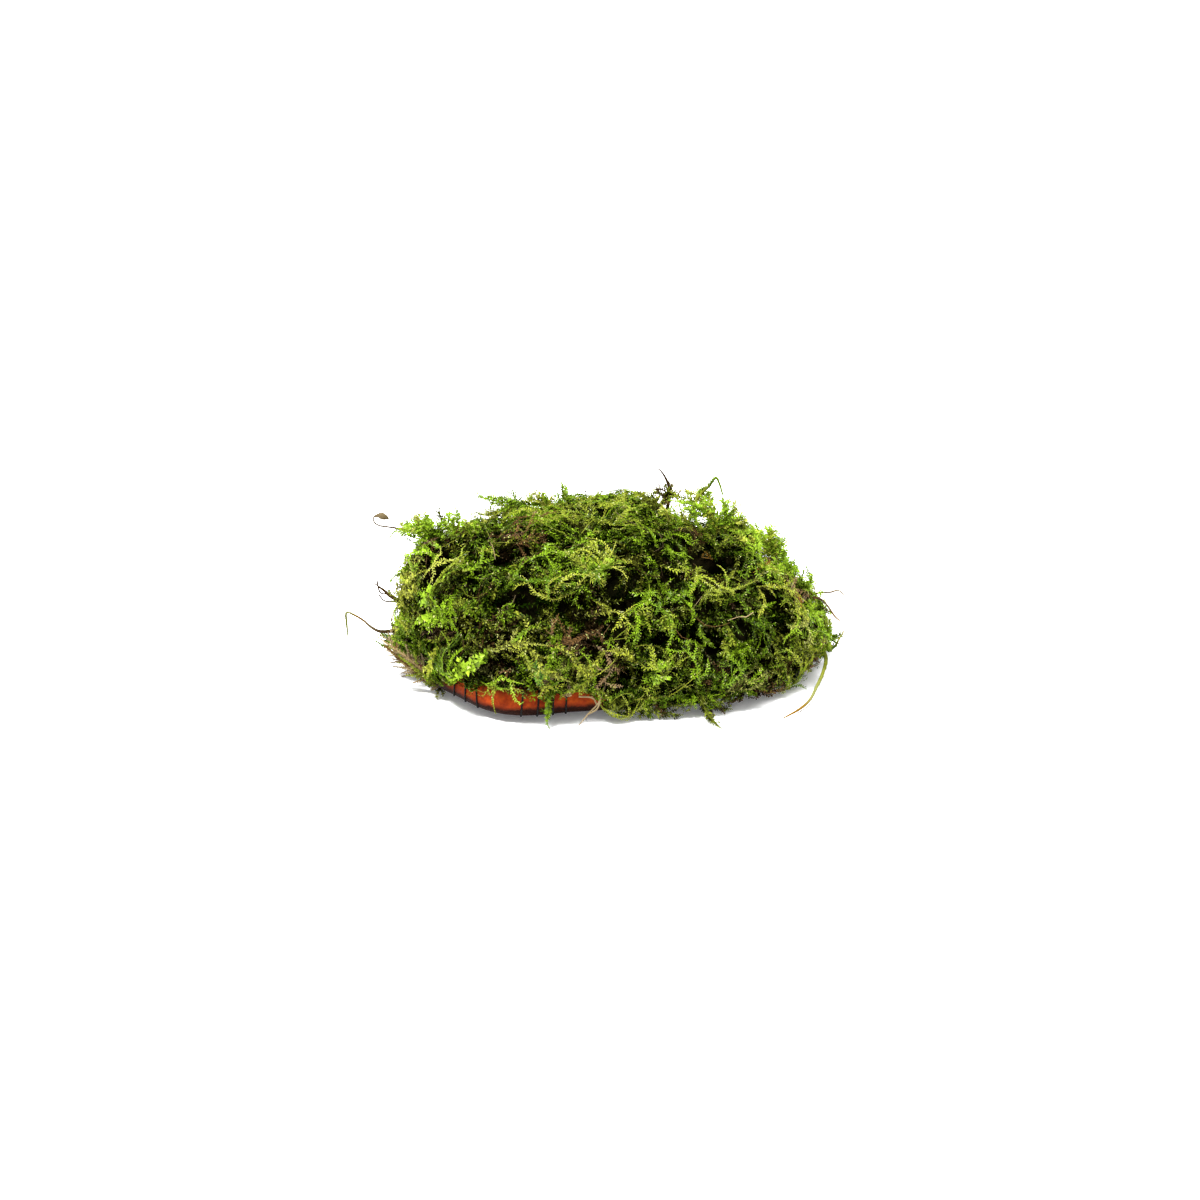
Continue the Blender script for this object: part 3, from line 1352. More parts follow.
    def over_hollow(self, points: Rows) -> bool:
        """Whether a hollow opens below one of these points."""
        gap = np.linalg.norm(points[:, None] - self.middles, axis=2) / self.radii
        return bool(((gap.min(axis=1) < 1) & self.hollow[gap.argmin(axis=1)]).any())

    def closes_opening(self, points: Rows) -> bool:
        """Whether a frond covers the bare rim or a gap that the photograph shows."""
        outlines = WINDOWS_PX + ((RIM_PX,) if (points[:, 1] < 0).all() else ())
        seen = self.view.seen_as(points)[0]
        return any(self.view.within(seen, outline).any() for outline in outlines)

    # Fronds

    def heading(self, place: Rows, out: Rows, rng: Draws) -> Rows:
        """The way in which a clump's fronds lie: outwards and down, turned at random."""
        radial = np.array([place[0], place[1] * self.depth_stretch, 0.0])
        wish = unit(radial) * self.outward + np.array([0.0, 0.0, -self.droop])
        return self.turned(self.flat(wish, out), out, rng.normal(0, math.radians(self.lie_spread_deg)))

    @staticmethod
    def flat(aim: Rows, out: Rows) -> Rows:
        """The aim, laid along the surface."""
        along = aim - out * aim.dot(out)
        size = np.linalg.norm(along)
        return along / size if size > 1e-6 else unit(np.cross(out, [0.3, 0.5, 0.8]))

    @staticmethod
    def turned(aim: Rows, out: Rows, angle: float) -> Rows:
        """The aim, turned about the way out."""
        return aim * math.cos(angle) + np.cross(out, aim) * math.sin(angle)

    def held(self, points: Rows) -> Rows:
        """The points, held between the lowest and the highest that fronds reach."""
        points[:, 2] = np.clip(points[:, 2], self.bottom, self.top)
        return points

    def frond(
        self, start: Rows, aim: Rows, length: float, growth: Growth, heights: tuple, rng: Draws
    ) -> tuple[Rows, Rows, Rows]:
        """Lays one frond along the surface.

        Args:
            start: the place on the surface over its root.
            aim: the way it sets off.
            length: how far it runs.
            growth: the layer it belongs to.
            heights: its height over the surface at its root, highest and tip.
            rng: the clump's random numbers.

        Returns:
            Its points, the way out at each, and their heights over the surface.
        """
        root, peak, tip = heights
        curl = rng.normal(0, math.radians(growth.curl_deg))
        place, step = start, length / (growth.steps - 1)
        rows, facing, raised = [], [], []
        for k in range(growth.steps):
            share = k / (growth.steps - 1)
            found, out = self.surface.nearest(place)
            rise = root + (peak - root) * min(1.0, share / self.crest) ** self.rise_power
            if share > self.crest:
                past = (share - self.crest) / (1.0 - self.crest)
                rise = peak + (tip - peak) * past**self.fall_power
            rows.append(found + out * rise)
            facing.append(out)
            raised.append(rise)
            wander = rng.normal(0, math.radians(self.wander_deg))
            aim = self.turned(self.flat(aim, out), out, curl + wander)
            place = found + aim * step
        return self.held(np.array(rows)), np.array(facing), np.array(raised)

    def clump_at(self, seat: Rows, growth: Growth, rng: Draws) -> Optional[Clump]:
        """Works out how a clump of a layer grows.

        Args:
            seat: a place near the surface.
            growth: the layer.
            rng: the clump's random numbers.

        Returns:
            The clump, or nothing at the very foot and where a hollow is.
        """
        found, out = self.surface.nearest(seat)
        if found[2] < self.foot_gap:
            return None
        tone, light = self.tone_at(found, rng)
        clump = Clump(found, out, self.heading(found, out, rng), tone, light)
        patch = self.patch_at(found)
        if patch:
            if patch.cover is HOLLOW and growth is not self.deep:
                return None
            clump.tone, clump.light = patch.tone.value + rng.normal(0, self.patch_tone_spread), patch.light
            clump.lift = patch.lift_mm * MM if growth is not self.deep else 0.0
            if patch.cover is FEATHER:
                clump.room = min(1.0, self.feather_room * patch.radius_mm * MM / growth.length[1])
            if patch.heading_deg is not None:
                angle = math.radians(patch.heading_deg)
                aim = self.view.right * math.cos(angle) + self.view.up * math.sin(angle)
                clump.aim = self.flat(aim, out)
        if growth is self.wiry:
            clump.tone = rng.choice([tone.value for tone in self.wiry_tones])
        return clump

    def grow_layer(self, name: str, growth: Growth, seed: int, sectors: int) -> None:
        """Grows one layer and splits it into pieces round the clump.

        Args:
            name: the pieces' name, before their number.
            growth: the layer.
            seed: what sets its random numbers apart.
            sectors: how many pieces it makes.
        """
        sheaves = [Guides() for _ in range(sectors)]
        seats, self.seats = self.seats[:growth.clumps], self.seats[growth.clumps:]
        for number, seat in enumerate(seats):
            rng = np.random.default_rng((seed, number))
            clump = self.clump_at(seat, growth, rng)
            if clump is None:
                continue
            turn = math.atan2(clump.place[1], clump.place[0]) / (2 * math.pi) % 1.0
            sheaf = sheaves[min(int(turn * sectors), sectors - 1)]
            for _ in range(rng.integers(growth.fronds[0], growth.fronds[1] + 1)):
                self.add_frond(sheaf, growth, clump, rng)
        for number, sheaf in enumerate(sheaves):
            piece = self.tree.grow(
                f"{name}_{number + 1}", sheaf, self.moss, seed=seed + number,
                leaf_spacing=growth.spacing, leaf_width=growth.width,
            )
            hand_over(piece, "green_moss")

    def add_frond(self, sheaf: Guides, growth: Growth, clump: Clump, rng: Draws) -> None:
        """Adds one frond of a clump and its side branches to the sheaf."""
        sway = self.turned(clump.aim, clump.out, rng.normal(0, math.radians(growth.fan_deg)))
        offset = self.flat(rng.normal(0, 1, 3), clump.out) * growth.spread * rng.random() ** 0.5
        heights = (-growth.root_depth, rng.uniform(*growth.peak) + clump.lift,
                   rng.uniform(*growth.tip) + clump.lift)
        length = rng.uniform(*growth.length) * clump.room
        points, facing, raised = self.frond(clump.place + offset, sway, length, growth, heights, rng)
        open_layer = growth is not self.deep
        if open_layer and rng.random() < self.hollow_odds and self.over_hollow(points[2:]):
            return
        if rng.random() < self.opening_odds and self.closes_opening(points):
            return
        low, high = growth.light
        share = np.clip((raised + self.lit_from) / self.lit_run, 0.0, 1.0)
        light = (low + (high - low) * share**self.lit_power) * clump.light + rng.normal(0, self.light_spread)
        leaf = rng.uniform(*growth.leaf)
        girth = growth.girth * np.linspace(*self.girth_ends, len(points))
        tone = clump.tone + rng.normal(0, self.tone_spread)
        sheaf.add(points, facing, tone=tone, light=light, leaf=leaf, girth=girth)
        kind, spans = self.mat_twigs, (self.twig_peak_mm, self.twig_tip_mm)
        for _ in range(growth.branches):
            fork = int(rng.integers(2, growth.steps - 1))
            side = rng.choice((-1.0, 1.0))
            side *= rng.normal(math.radians(kind.angle_deg), math.radians(kind.angle_spread_deg))
            along, rise = self.flat(points[fork] - points[fork - 1], facing[fork]), raised[fork]
            twig, twig_facing, _ = self.frond(
                points[fork] - facing[fork] * rise, self.turned(along, facing[fork], side),
                length * rng.uniform(*kind.length), replace(growth, steps=self.twig_steps),
                (rise, *(rise + rng.uniform(*span) * MM for span in spans)), rng,
            )
            if open_layer and self.over_hollow(twig[1:]):
                continue
            sheaf.add(twig, twig_facing, tone=tone + rng.normal(0, kind.tone_spread),
                      light=light[fork] + rng.uniform(*kind.light), leaf=leaf * kind.leaf,
                      girth=growth.girth * kind.girth)

    def grow_open_fronds(self) -> None:
        """Grows the fronds that stand out of the mat, where the photograph shows them."""
        sprays = [*SPRAYS, *(spray for fan in FANS for spray in fan.sprays())]
        for name, low, high, spacing, width in self.open_kinds:
            sheaf = Guides()
            for number, spray in enumerate(sprays):
                if low <= spray.leaf_mm < high:
                    self.add_spray(sheaf, spray, np.random.default_rng((self.open_seed, number)))
            piece = self.tree.grow(
                name, sheaf, self.moss, seed=self.open_seed, leaf_spacing=spacing, leaf_width=width
            )
            hand_over(piece, "green_moss")

    def course(self, spray: Spray, lean: float) -> tuple[Rows, Rows]:
        """Finds where a drawn frond runs in space.

        Args:
            spray: the frond. Where its path misses the clump, it goes on over the root's depth.
            lean: how far it leans back there, for each metre that it runs.

        Returns:
            Its points, and the way out at each.
        """
        lifts = np.interp(np.linspace(0, 2, len(spray.path_px)), (0, 1, 2), spray.lift_mm) * MM
        eye, rows, facing, gone = self.view.place, [], [], 0.0
        for (across, down), lift in zip(spray.path_px, lifts):
            ray = self.view.ray(across, down)
            hit = self.surface.seen_at(self.view, across, down)
            depth = spray.behind_mm * MM
            if rows:
                depth = min(rows[-1][1], self.behind + lean * gone)
                step = math.dist(spray.path_px[len(rows) - 1], (across, down)) / self.view.px_per_metre
                gone += step
                depth += lean * step * (depth > 0)
            place = eye + ray * (depth - eye[1]) / ray[1]
            out = facing[-1] if facing else -ray
            if hit is not None:
                out = self.surface.nearest(hit)[1]
                deeper = hit[1] - depth if rows else 0.0
                room = self.most_step * np.linalg.norm(place - rows[-1]) if rows else 0.0
                place = hit + out * lift if deeper <= room else place + ray * room
            if place[2] < self.bottom:
                place = eye + ray * (self.bottom - eye[2]) / ray[2]
            rows.append(place)
            facing.append(out)
        return self.held(smoothed(np.array(rows))), unit(smoothed(np.array(facing)))

    def add_spray(self, sheaf: Guides, spray: Spray, rng: Draws) -> None:
        """Adds one drawn frond and its side branches to the sheaf."""
        points, facing = self.course(spray, rng.uniform(0.0, self.most_lean))
        share = np.linspace(0, 1, len(points))
        light = spray.light * self.open_light * (self.root_glow + self.tip_glow * share)
        girth = spray.girth_mm * MM * (self.root_girth - self.girth_loss * share)
        tone, leaf = spray.tone.value, spray.leaf_mm * MM
        shown = tone + rng.normal(0, self.patch_tone_spread)
        sheaf.add(points, facing, tone=shown, light=light, leaf=leaf, girth=girth)
        steps_px = np.linalg.norm(np.diff(np.array(spray.path_px, float), axis=0), axis=1)
        length, kind = steps_px.sum() / self.view.px_per_metre, self.open_twigs
        steps = np.linspace(0, 1, self.twig_steps)[:, None]
        for number in range(spray.branches):
            place = self.first_fork + self.fork_run * (number + 0.5) / spray.branches
            fork = int(place * (len(points) - 2)) + 1
            out = facing[fork]
            along = self.flat(points[fork] - points[fork - 1], out)
            turn = rng.normal(math.radians(kind.angle_deg), math.radians(kind.angle_spread_deg))
            turn *= 1 if number % 2 else -1
            aim = self.turned(along, out, turn)
            reach = length * rng.uniform(*kind.length) * (self.root_reach - self.reach_loss * share[fork])
            bend = self.turned(aim, out, -turn * self.twig_bend)
            twig = points[fork] + aim * reach * steps + (bend - aim) * reach * steps**2 * 0.5
            twig = self.held(twig + out * (steps**2) * rng.uniform(*self.twig_sway_mm) * MM)
            sheaf.add(twig, np.broadcast_to(out, twig.shape), tone=tone + rng.normal(0, kind.tone_spread),
                      light=light[fork] + rng.uniform(*kind.light), leaf=leaf * kind.leaf,
                      girth=girth[fork] * kind.girth)


# ---- Tablet and thread ----


@dataclass
class Tablet:
    """The round, hand-made clay tablet under the moss.

    The reaches are those of the rim, at even angles from the right on. The profile is the rim's
    section from the foot up, each row an inset and a height.
    """

    reach_mm: tuple = (
        53.0, 51.2, 46.6, 42.6, 40.2, 40.2, 42.6, 46.0, 48.0,
        48.6, 48.4, 47.2, 47.8, 40.8, 38.8, 40.6, 45.0, 49.2,
    )
    profile_mm: tuple = (
        (7.0, 0.0), (2.0, 1.6), (0.0, 3.4), (0.7, 6.2), (2.4, 8.6), (5.2, 10.2), (10.5, 11.0),
    )
    sides: int = 300
    steps: int = 7
    unevenness: float = 0.16 * MM
    dent_rate: float = 130.0
    grain_rate: float = 420.0
    grain_share: float = 0.5

    def rim(self, angle: float) -> float:
        """How far out the rim lies at this angle."""
        count = len(self.reach_mm)
        place = (angle / (2 * math.pi) % 1) * count
        four = [self.reach_mm[(int(place) + k) % count] for k in (-1, 0, 1, 2)]
        return smooth_between(four, place % 1) * MM

    def outline(self) -> list[Rows]:
        """The rim's section, inset and height, on a smooth line."""
        rows = np.array(self.profile_mm)
        made = [
            smooth_between(four_around(rows, row), k / self.steps) * MM
            for row in range(len(rows) - 1)
            for k in range(self.steps)
        ]
        return [*made, rows[-1] * MM]

    def shape(self) -> bpy.types.Mesh:
        """The closed body of the tablet."""
        bm = bmesh.new()
        rings = []
        for inset, height in self.outline():
            ring = []
            for i in range(self.sides):
                angle = 2 * math.pi * i / self.sides
                out = Vector((math.cos(angle), math.sin(angle), 0.0))
                reach = self.rim(angle) - inset
                place = Vector((reach * math.cos(angle), reach * math.sin(angle), height))
                wave = noise.noise(place * self.dent_rate)
                wave += self.grain_share * noise.noise(place * self.grain_rate)
                place -= out * self.unevenness * (0.5 + 0.5 * wave)
                ring.append(bm.verts.new(place))
            rings.append(ring)
        for lower, upper in zip(rings, rings[1:]):
            for i in range(self.sides):
                j = (i + 1) % self.sides
                bm.faces.new((lower[i], lower[j], upper[j], upper[i]))
        for ring, height in ((rings[0], 0.0), (rings[-1], self.profile_mm[-1][1] * MM)):
            middle = bm.verts.new((0, 0, height))
            for i in range(self.sides):
                bm.faces.new((ring[i], ring[(i + 1) % self.sides], middle))
        bmesh.ops.recalc_face_normals(bm, faces=bm.faces)
        for face in bm.faces:
            face.smooth = True
        mesh = bpy.data.meshes.new("terracotta_tablet_dressed")
        bm.to_mesh(mesh)
        bm.free()
        return mesh

    def build(self) -> bpy.types.Mesh:
        """Makes the tablet and hands back its mesh, for the thread to lie on."""
        mesh = self.shape()
        mesh.materials.append(ClayFinish().build())
        hand_over(link("clay_tablet", mesh), "terracotta", "terracotta_tablet")
        return mesh


class ThreadTree(PathTree):
    """The node tree that lays a twisted two-ply thread along a route."""

    NAME = "twisted_thread"
    INPUTS = (
        ("Radius", "NodeSocketFloat", None),
        ("Step", "NodeSocketFloat", None),
        ("Lay Length", "NodeSocketFloat", None),
    )
    SIDES = 10
    WAIST = 0.60

    def shape(self, curve: Sock) -> Sock:
        """A tube with two plies, which turn as it goes along."""
        graph, given = self.graph, self.given
        curve = self.even(curve, "Step")
        far = graph.node("GeometryNodeSplineParameter", {}, {}, "Length")
        turn = far / given["Lay Length"] * (2 * math.pi)
        curve = graph.node("GeometryNodeSetCurveTilt", {}, {"Curve": curve, "Tilt": turn})
        place = graph.node("GeometryNodeInputPosition", {}, {})
        lobes = self.WAIST + place.part("X").maths("ABSOLUTE") * (1.0 - self.WAIST)
        names = {"Geometry": self.ring(self.SIDES), "Position": place.vector("SCALE", lobes)}
        return self.tube(curve, graph.node("GeometryNodeSetPosition", {}, names), given["Radius"])


@dataclass
class Binding:
    """The black thread that ties the moss to the tablet, wound round it in one piece.

    A turn is where it crosses the front rim, left to right, and how far it leans on the way up.
    """

    radius: float = 0.25 * MM
    lay_length: float = 1.3 * MM
    step: float = 0.33 * MM
    lift: float = 0.14 * MM
    heights_mm: tuple = (1.0, 1.5, 2.0, 2.5, 3.0, 3.6, 4.3, 5.0, 5.8, 6.6, 7.4, 8.2, 9.0, 9.7, 10.3)
    arch: float = 1.0 * MM
    over_top: float = 0.5 * MM
    shares: tuple = (0.02, 0.15, 0.3, 0.5, 0.7, 0.85, 0.98)
    turns_mm: tuple = (
        (-35.6, 0.9), (-32.6, 0.3), (-29.4, -0.5), (-19.4, 1.0), (-15.6, 1.0), (-11.8, 0.4),
        (-8.8, 0.5), (7.4, 0.6), (15.0, -0.5), (23.2, 0.5), (31.4, 0.2), (40.2, -0.6),
    )
    last_step_mm: float = 6.0
    under: float = 0.35 * MM
    tuck: float = 1.5 * MM
    far: float = 0.2

    def hug(self, tree: BVHTree, x: float, side: int, height: float) -> Vector:
        """Where the thread lies on the rim. side is -1 in front and 1 behind."""
        start = Vector((x, side * self.far, height))
        place, out, _, _ = tree.ray_cast(start, Vector((0, -side, 0)))
        return place + out * self.lift

    def route(self, clay: bpy.types.Mesh) -> list[Vector]:
        """The thread's whole way round the tablet."""
        points, faces = arrays_of(clay)[0], [p.vertices[:] for p in clay.polygons]
        tree = BVHTree.FromPolygons(points.tolist(), faces)
        way: list[Vector] = []
        for number, (x, lean) in enumerate(self.turns_mm):
            last = number == len(self.turns_mm) - 1
            behind = (x + (x + self.last_step_mm if last else self.turns_mm[number + 1][0])) / 2
            front, back = [], []
            for height in self.heights_mm:
                share = height / self.heights_mm[-1]
                front.append(self.hug(tree, (x + lean * share) * MM, -1, height * MM))
                back.append(self.hug(tree, behind * MM, 1, height * MM))
            if number:
                way.append(Vector((front[0].x, front[0].y + self.tuck, self.under)))
            way += front
            for share in self.shares:
                rise = self.arch * 4 * share * (1 - share)
                way.append(front[-1].lerp(back[-1], share) + Vector((0, 0, rise + self.over_top)))
            if not last:
                way += reversed(back)
                way.append(Vector((back[0].x, back[0].y - self.tuck, self.under)))
        return way

    def build(self, clay: bpy.types.Mesh) -> None:
        """Winds the thread."""
        way = self.route(clay)
        route = bpy.data.meshes.new("thread_route")
        route.from_pydata([p[:] for p in way], [(k, k + 1) for k in range(len(way) - 1)], [])
        thread = ThreadTree().run(
            route, ThreadFinish().build(), radius=self.radius, step=self.step, lay_length=self.lay_length
        )
        hand_over(link("wound_thread", thread), "black_thread", "binding_thread")


# ---- Loose strands ----


@dataclass(frozen=True)
class Strand:
    """One stem or root that stands clear of the clump. Rows are x, y, z and radius in mm."""

    node: str
    rows: tuple
    tones: tuple[Tone, Tone]
    light: float = 0.6
    leaf_mm: tuple[float, float] = (0.0, 0.0)
    spacing_mm: float = 0.35
    girth: float = 0.42
    slot: str = "green_moss"
    forks: tuple = ()


STRANDS = (
    Strand("capsule_stalk", ((-36, 5, 25, 0.5), (-41.8, 5, 29.6, 0.6), (-45.1, 5, 31.5, 0.6),
        (-48.5, 5, 31.1, 0.5), (-51.4, 5, 31.9, 0.3), (-54.8, 5, 32.4, 0.25), (-56.2, 5, 33.4, 0.25),
        (-56.3, 5, 34.6, 0.25), (-55.3, 5, 35.1, 0.6), (-54.3, 5, 35, 1.1), (-53.3, 5, 34.6, 0.8),
        (-52.5, 5, 34.3, 0.15)), (BROWN, TAN), 0.6, (1, 0), 0.34, 0.6, "brown_root"),
    Strand("stem_top_left", ((-18, 13, 28, 0.6), (-22.4, 14, 34.4, 0.8), (-25, 14, 35.2, 0.8),
        (-28, 14, 36, 0.8), (-30.5, 14, 36.8, 0.6), (-33.7, 14, 37.6, 0.2)), (FRESH, STRAW), 0.8,
        (1.4, 0.5), 0.28, 0.16),
    Strand("stem_top_tuft", ((-8, 15, 27, 0.6), (-9.3, 16, 34.5, 0.8), (-9.9, 16, 37.5, 0.7),
        (-10.2, 16, 39.9, 0.3)), (LEAF, LEAF), 0.65, (1.4, 1.2), 0.28, 0.18),
    Strand("stem_top_knot", ((15.5, 17, 27, 0.6), (16.7, 18, 36, 0.8), (16.3, 18, 39, 0.6),
        (14.9, 18, 41.7, 0.4), (13.4, 18, 43.1, 0.2)), (BROWN, BROWN), 0.55, (1.1, 0.4), 0.28, 0.42),
    Strand("stem_top_loop", ((21, 15, 28.5, 0.6), (23.6, 16, 35.4, 0.6), (26.5, 16, 38.8, 0.6),
        (28.2, 16, 41.1, 0.6), (29.2, 16, 39.3, 0.5), (30, 16, 36.6, 0.4)), (STRAW, LIME), 0.85,
        (1.2, 1.1), 0.3, 0.4),
    Strand("twig_left", ((-42, -4, 13, 0.9), (-50.8, -4, 16.6, 1), (-53.6, -4, 18.9, 0.7),
        (-56.2, -4, 21, 0.2)), (BROWN, BROWN), 0.6, (0, 0), 0.4, 0.35, "brown_root", (((-52.5, -4, 17.9),
        (-54.5, -4.6, 18.6), (-55.2, -4.6, 22)), ((-50, -4, 16.2), (-53.2, -5, 16.4),
        (-54.8, -5.4, 18.4)))),
    Strand("stem_left_edge", ((-40, -2, 30, 0.6), (-46.6, -3, 32.6, 0.7), (-50, -3, 34, 0.7),
        (-51.6, -3, 32.6, 0.5), (-52.8, -3, 30.6, 0.2)), (FRESH, LIME), 0.85, (1.3, 0.9), 0.28, 0.16),
    Strand("stem_left_hook", ((-44, -8, 16, 0.6), (-50.4, -8, 10.4, 0.7), (-54.1, -8, 9.6, 0.6),
        (-56.4, -8, 10.6, 0.5), (-58.7, -8, 12.7, 0.4), (-61.1, -8, 14.2, 0.4), (-62.6, -8, 14.6, 0.4),
        (-62.6, -8, 11.5, 0.4), (-62.4, -8, 7.8, 0.2)), (BROWN, STRAW), 0.55, (0, 1.3), 0.28, 0.5),
    Strand("stem_left_low", ((-40, -12, 14.5, 1), (-48.4, -15.6, 10, 1.2), (-51.4, -15.4, 8.4, 1.2),
        (-53.6, -14.4, 8.8, 0.9), (-56.3, -13.5, 10.2, 0.3)), (TAN, LEAF), 0.75, (1.5, 1.1), 0.25, 0.18),
    Strand("root_right", ((46, 0.5, 15, 0.4), (53.5, 0, 16.6, 0.3), (56.4, 0, 16.8, 0.3),
        (58.1, 0, 17.3, 0.25), (59.6, 0, 16.1, 0.2)), (BROWN, TAN), 0.7, (0, 0), 0.4, 0.6, "brown_root"),
    Strand("stem_right_arm", ((46, -5.5, 18, 0.5), (52.6, -4.4, 17, 0.5), (54.9, -4, 15.3, 0.5),
        (57.1, -4, 12.1, 0.45), (58.9, -4, 10.4, 0.2)), (BROWN, GOLD), 0.7, (0, 0.6), 0.4, 0.4),
    Strand("stem_right_tip", ((46, -8, 12.5, 0.6), (54.6, -7, 5, 0.8), (57.2, -6, 4.8, 0.7),
        (58.4, -6, 7.2, 0.5), (60.2, -6, 9.6, 0.25), (63, -6, 10.4, 0.2)), (LEAF, TAN), 0.75, (1.5, 0.5),
        0.28, 0.34),
    Strand("stem_right_hanging", ((45, -10, 13, 0.7), (51.6, -13, 9.2, 0.8), (54.2, -15.6, 6.4, 0.6),
        (53.4, -20.4, 4.4, 0.5), (51.4, -25.2, 2.2, 0.5), (49.5, -30.3, 1.2, 0.45),
        (46.9, -34.6, 0.8, 0.4), (42.6, -39.4, 0.5, 0.2)), (OLIVE, GOLD), 0.7, (1.1, 0.6), 0.34, 0.62),
    Strand("stem_front_right", ((22.5, -31, 12.5, 0.8), (23, -38.6, 6, 1), (24.6, -41, 2.6, 1),
        (26.4, -43.4, 1.2, 0.7), (28.1, -45.7, 0.5, 0.3)), (OLIVE, OLIVE), 0.5, (1.4, 1), 0.26, 0.2),
    Strand("stem_rim_left", ((-24, -33, 14.5, 0.7), (-25, -42.4, 10.6, 0.9), (-25.6, -44.6, 7.6, 0.8),
        (-25, -45.6, 4.6, 0.3)), (STRAW, STRAW), 0.6, (1.1, 0.8), 0.26, 0.16),
    Strand("stem_rim_middle", ((-10.5, -32, 14.5, 0.9), (-11.6, -40.8, 9.8, 1.1),
        (-12.6, -43.4, 5.2, 1.1), (-13, -44.6, 1.8, 0.7), (-12.3, -45.4, 0.5, 0.3)), (LEAF, FRESH), 0.75,
        (1.5, 1.1), 0.25, 0.16),
    Strand("root_front", ((2, -32, 14, 0.5), (0.3, -40.8, 8.6, 0.5), (-1.1, -42.4, 5.6, 0.4),
        (-3.4, -43, 3.2, 0.35), (-5.9, -44.6, 0.5, 0.2)), (TAN, TAN), 0.9, (0, 0), 0.6, 0.34,
        "brown_root", (((-1.4, -42.4, 5.4), (-2.4, -42.6, 7.2), (-5.6, -42.8, 7.6)), ((-3.4, -43, 3.2),
        (-1.4, -43.4, 4.6), (-0.6, -43.6, 6.6)))),
)


@dataclass
class LooseStrands:
    """The stems and roots that stand clear of the clump, each a piece of its own."""

    stem_step: float = 0.5 * MM
    stem_sides: int = 7
    fork_girth: float = 0.20 * MM
    fork_leaf: float = 0.7
    girth_share: float = 1.4
    light_share: float = 0.85
    leaf_width: float = 0.46
    change_from: float = 0.25
    change_run: float = 0.6
    first_seed: int = 300
    middle: tuple = (0.0, 0.0, 8.0 * MM)

    def build(self, tree: FrondTree, moss: bpy.types.Material) -> None:
        """Grows every strand."""
        for number, strand in enumerate(STRANDS):
            rows = np.array(strand.rows)
            points = rows[:, :3] * MM
            sheaf = Guides()
            share, light = np.linspace(0, 1, len(points)), strand.light * self.light_share
            tones = self.changing(share, *(tone.value for tone in strand.tones))
            leaf = self.changing(share, *(size * MM for size in strand.leaf_mm))
            girth = rows[:, 3] * MM * strand.girth * self.girth_share
            sheaf.add(points, self.facing(points), tone=tones, light=light, leaf=leaf, girth=girth)
            for fork in strand.forks:
                side = np.array(fork) * MM
                sheaf.add(side, self.facing(side), tone=tones[-1], light=light,
                          leaf=leaf[-1] * self.fork_leaf, girth=self.fork_girth)
            piece = tree.grow(
                strand.node + "_grown", sheaf, moss, seed=self.first_seed + number,
                leaf_spacing=strand.spacing_mm * MM, leaf_width=self.leaf_width,
                stem_step=self.stem_step, stem_sides=self.stem_sides,
            )
            hand_over(piece, strand.slot, strand.node)

    def changing(self, share: Rows, start: float, end: float) -> Rows:
        """A change from start to end that happens round the middle."""
        late = np.clip((share - self.change_from) / self.change_run, 0, 1)
        return start + (end - start) * late

    def facing(self, points: Rows) -> Rows:
        """The way out from the clump at each point."""
        return unit(points - np.array(self.middle))


# ---- Open fronds ----


@dataclass(frozen=True)
class Spray:
    """A frond that the photograph shows clearly, drawn where it shows, root first."""

    path_px: tuple
    tone: Tone
    light: float = 0.8
    leaf_mm: float = 1.0
    lift_mm: tuple = (0.0, 2.0, 2.0)
    branches: int = 3
    girth_mm: float = 0.13
    behind_mm: float = 0.0


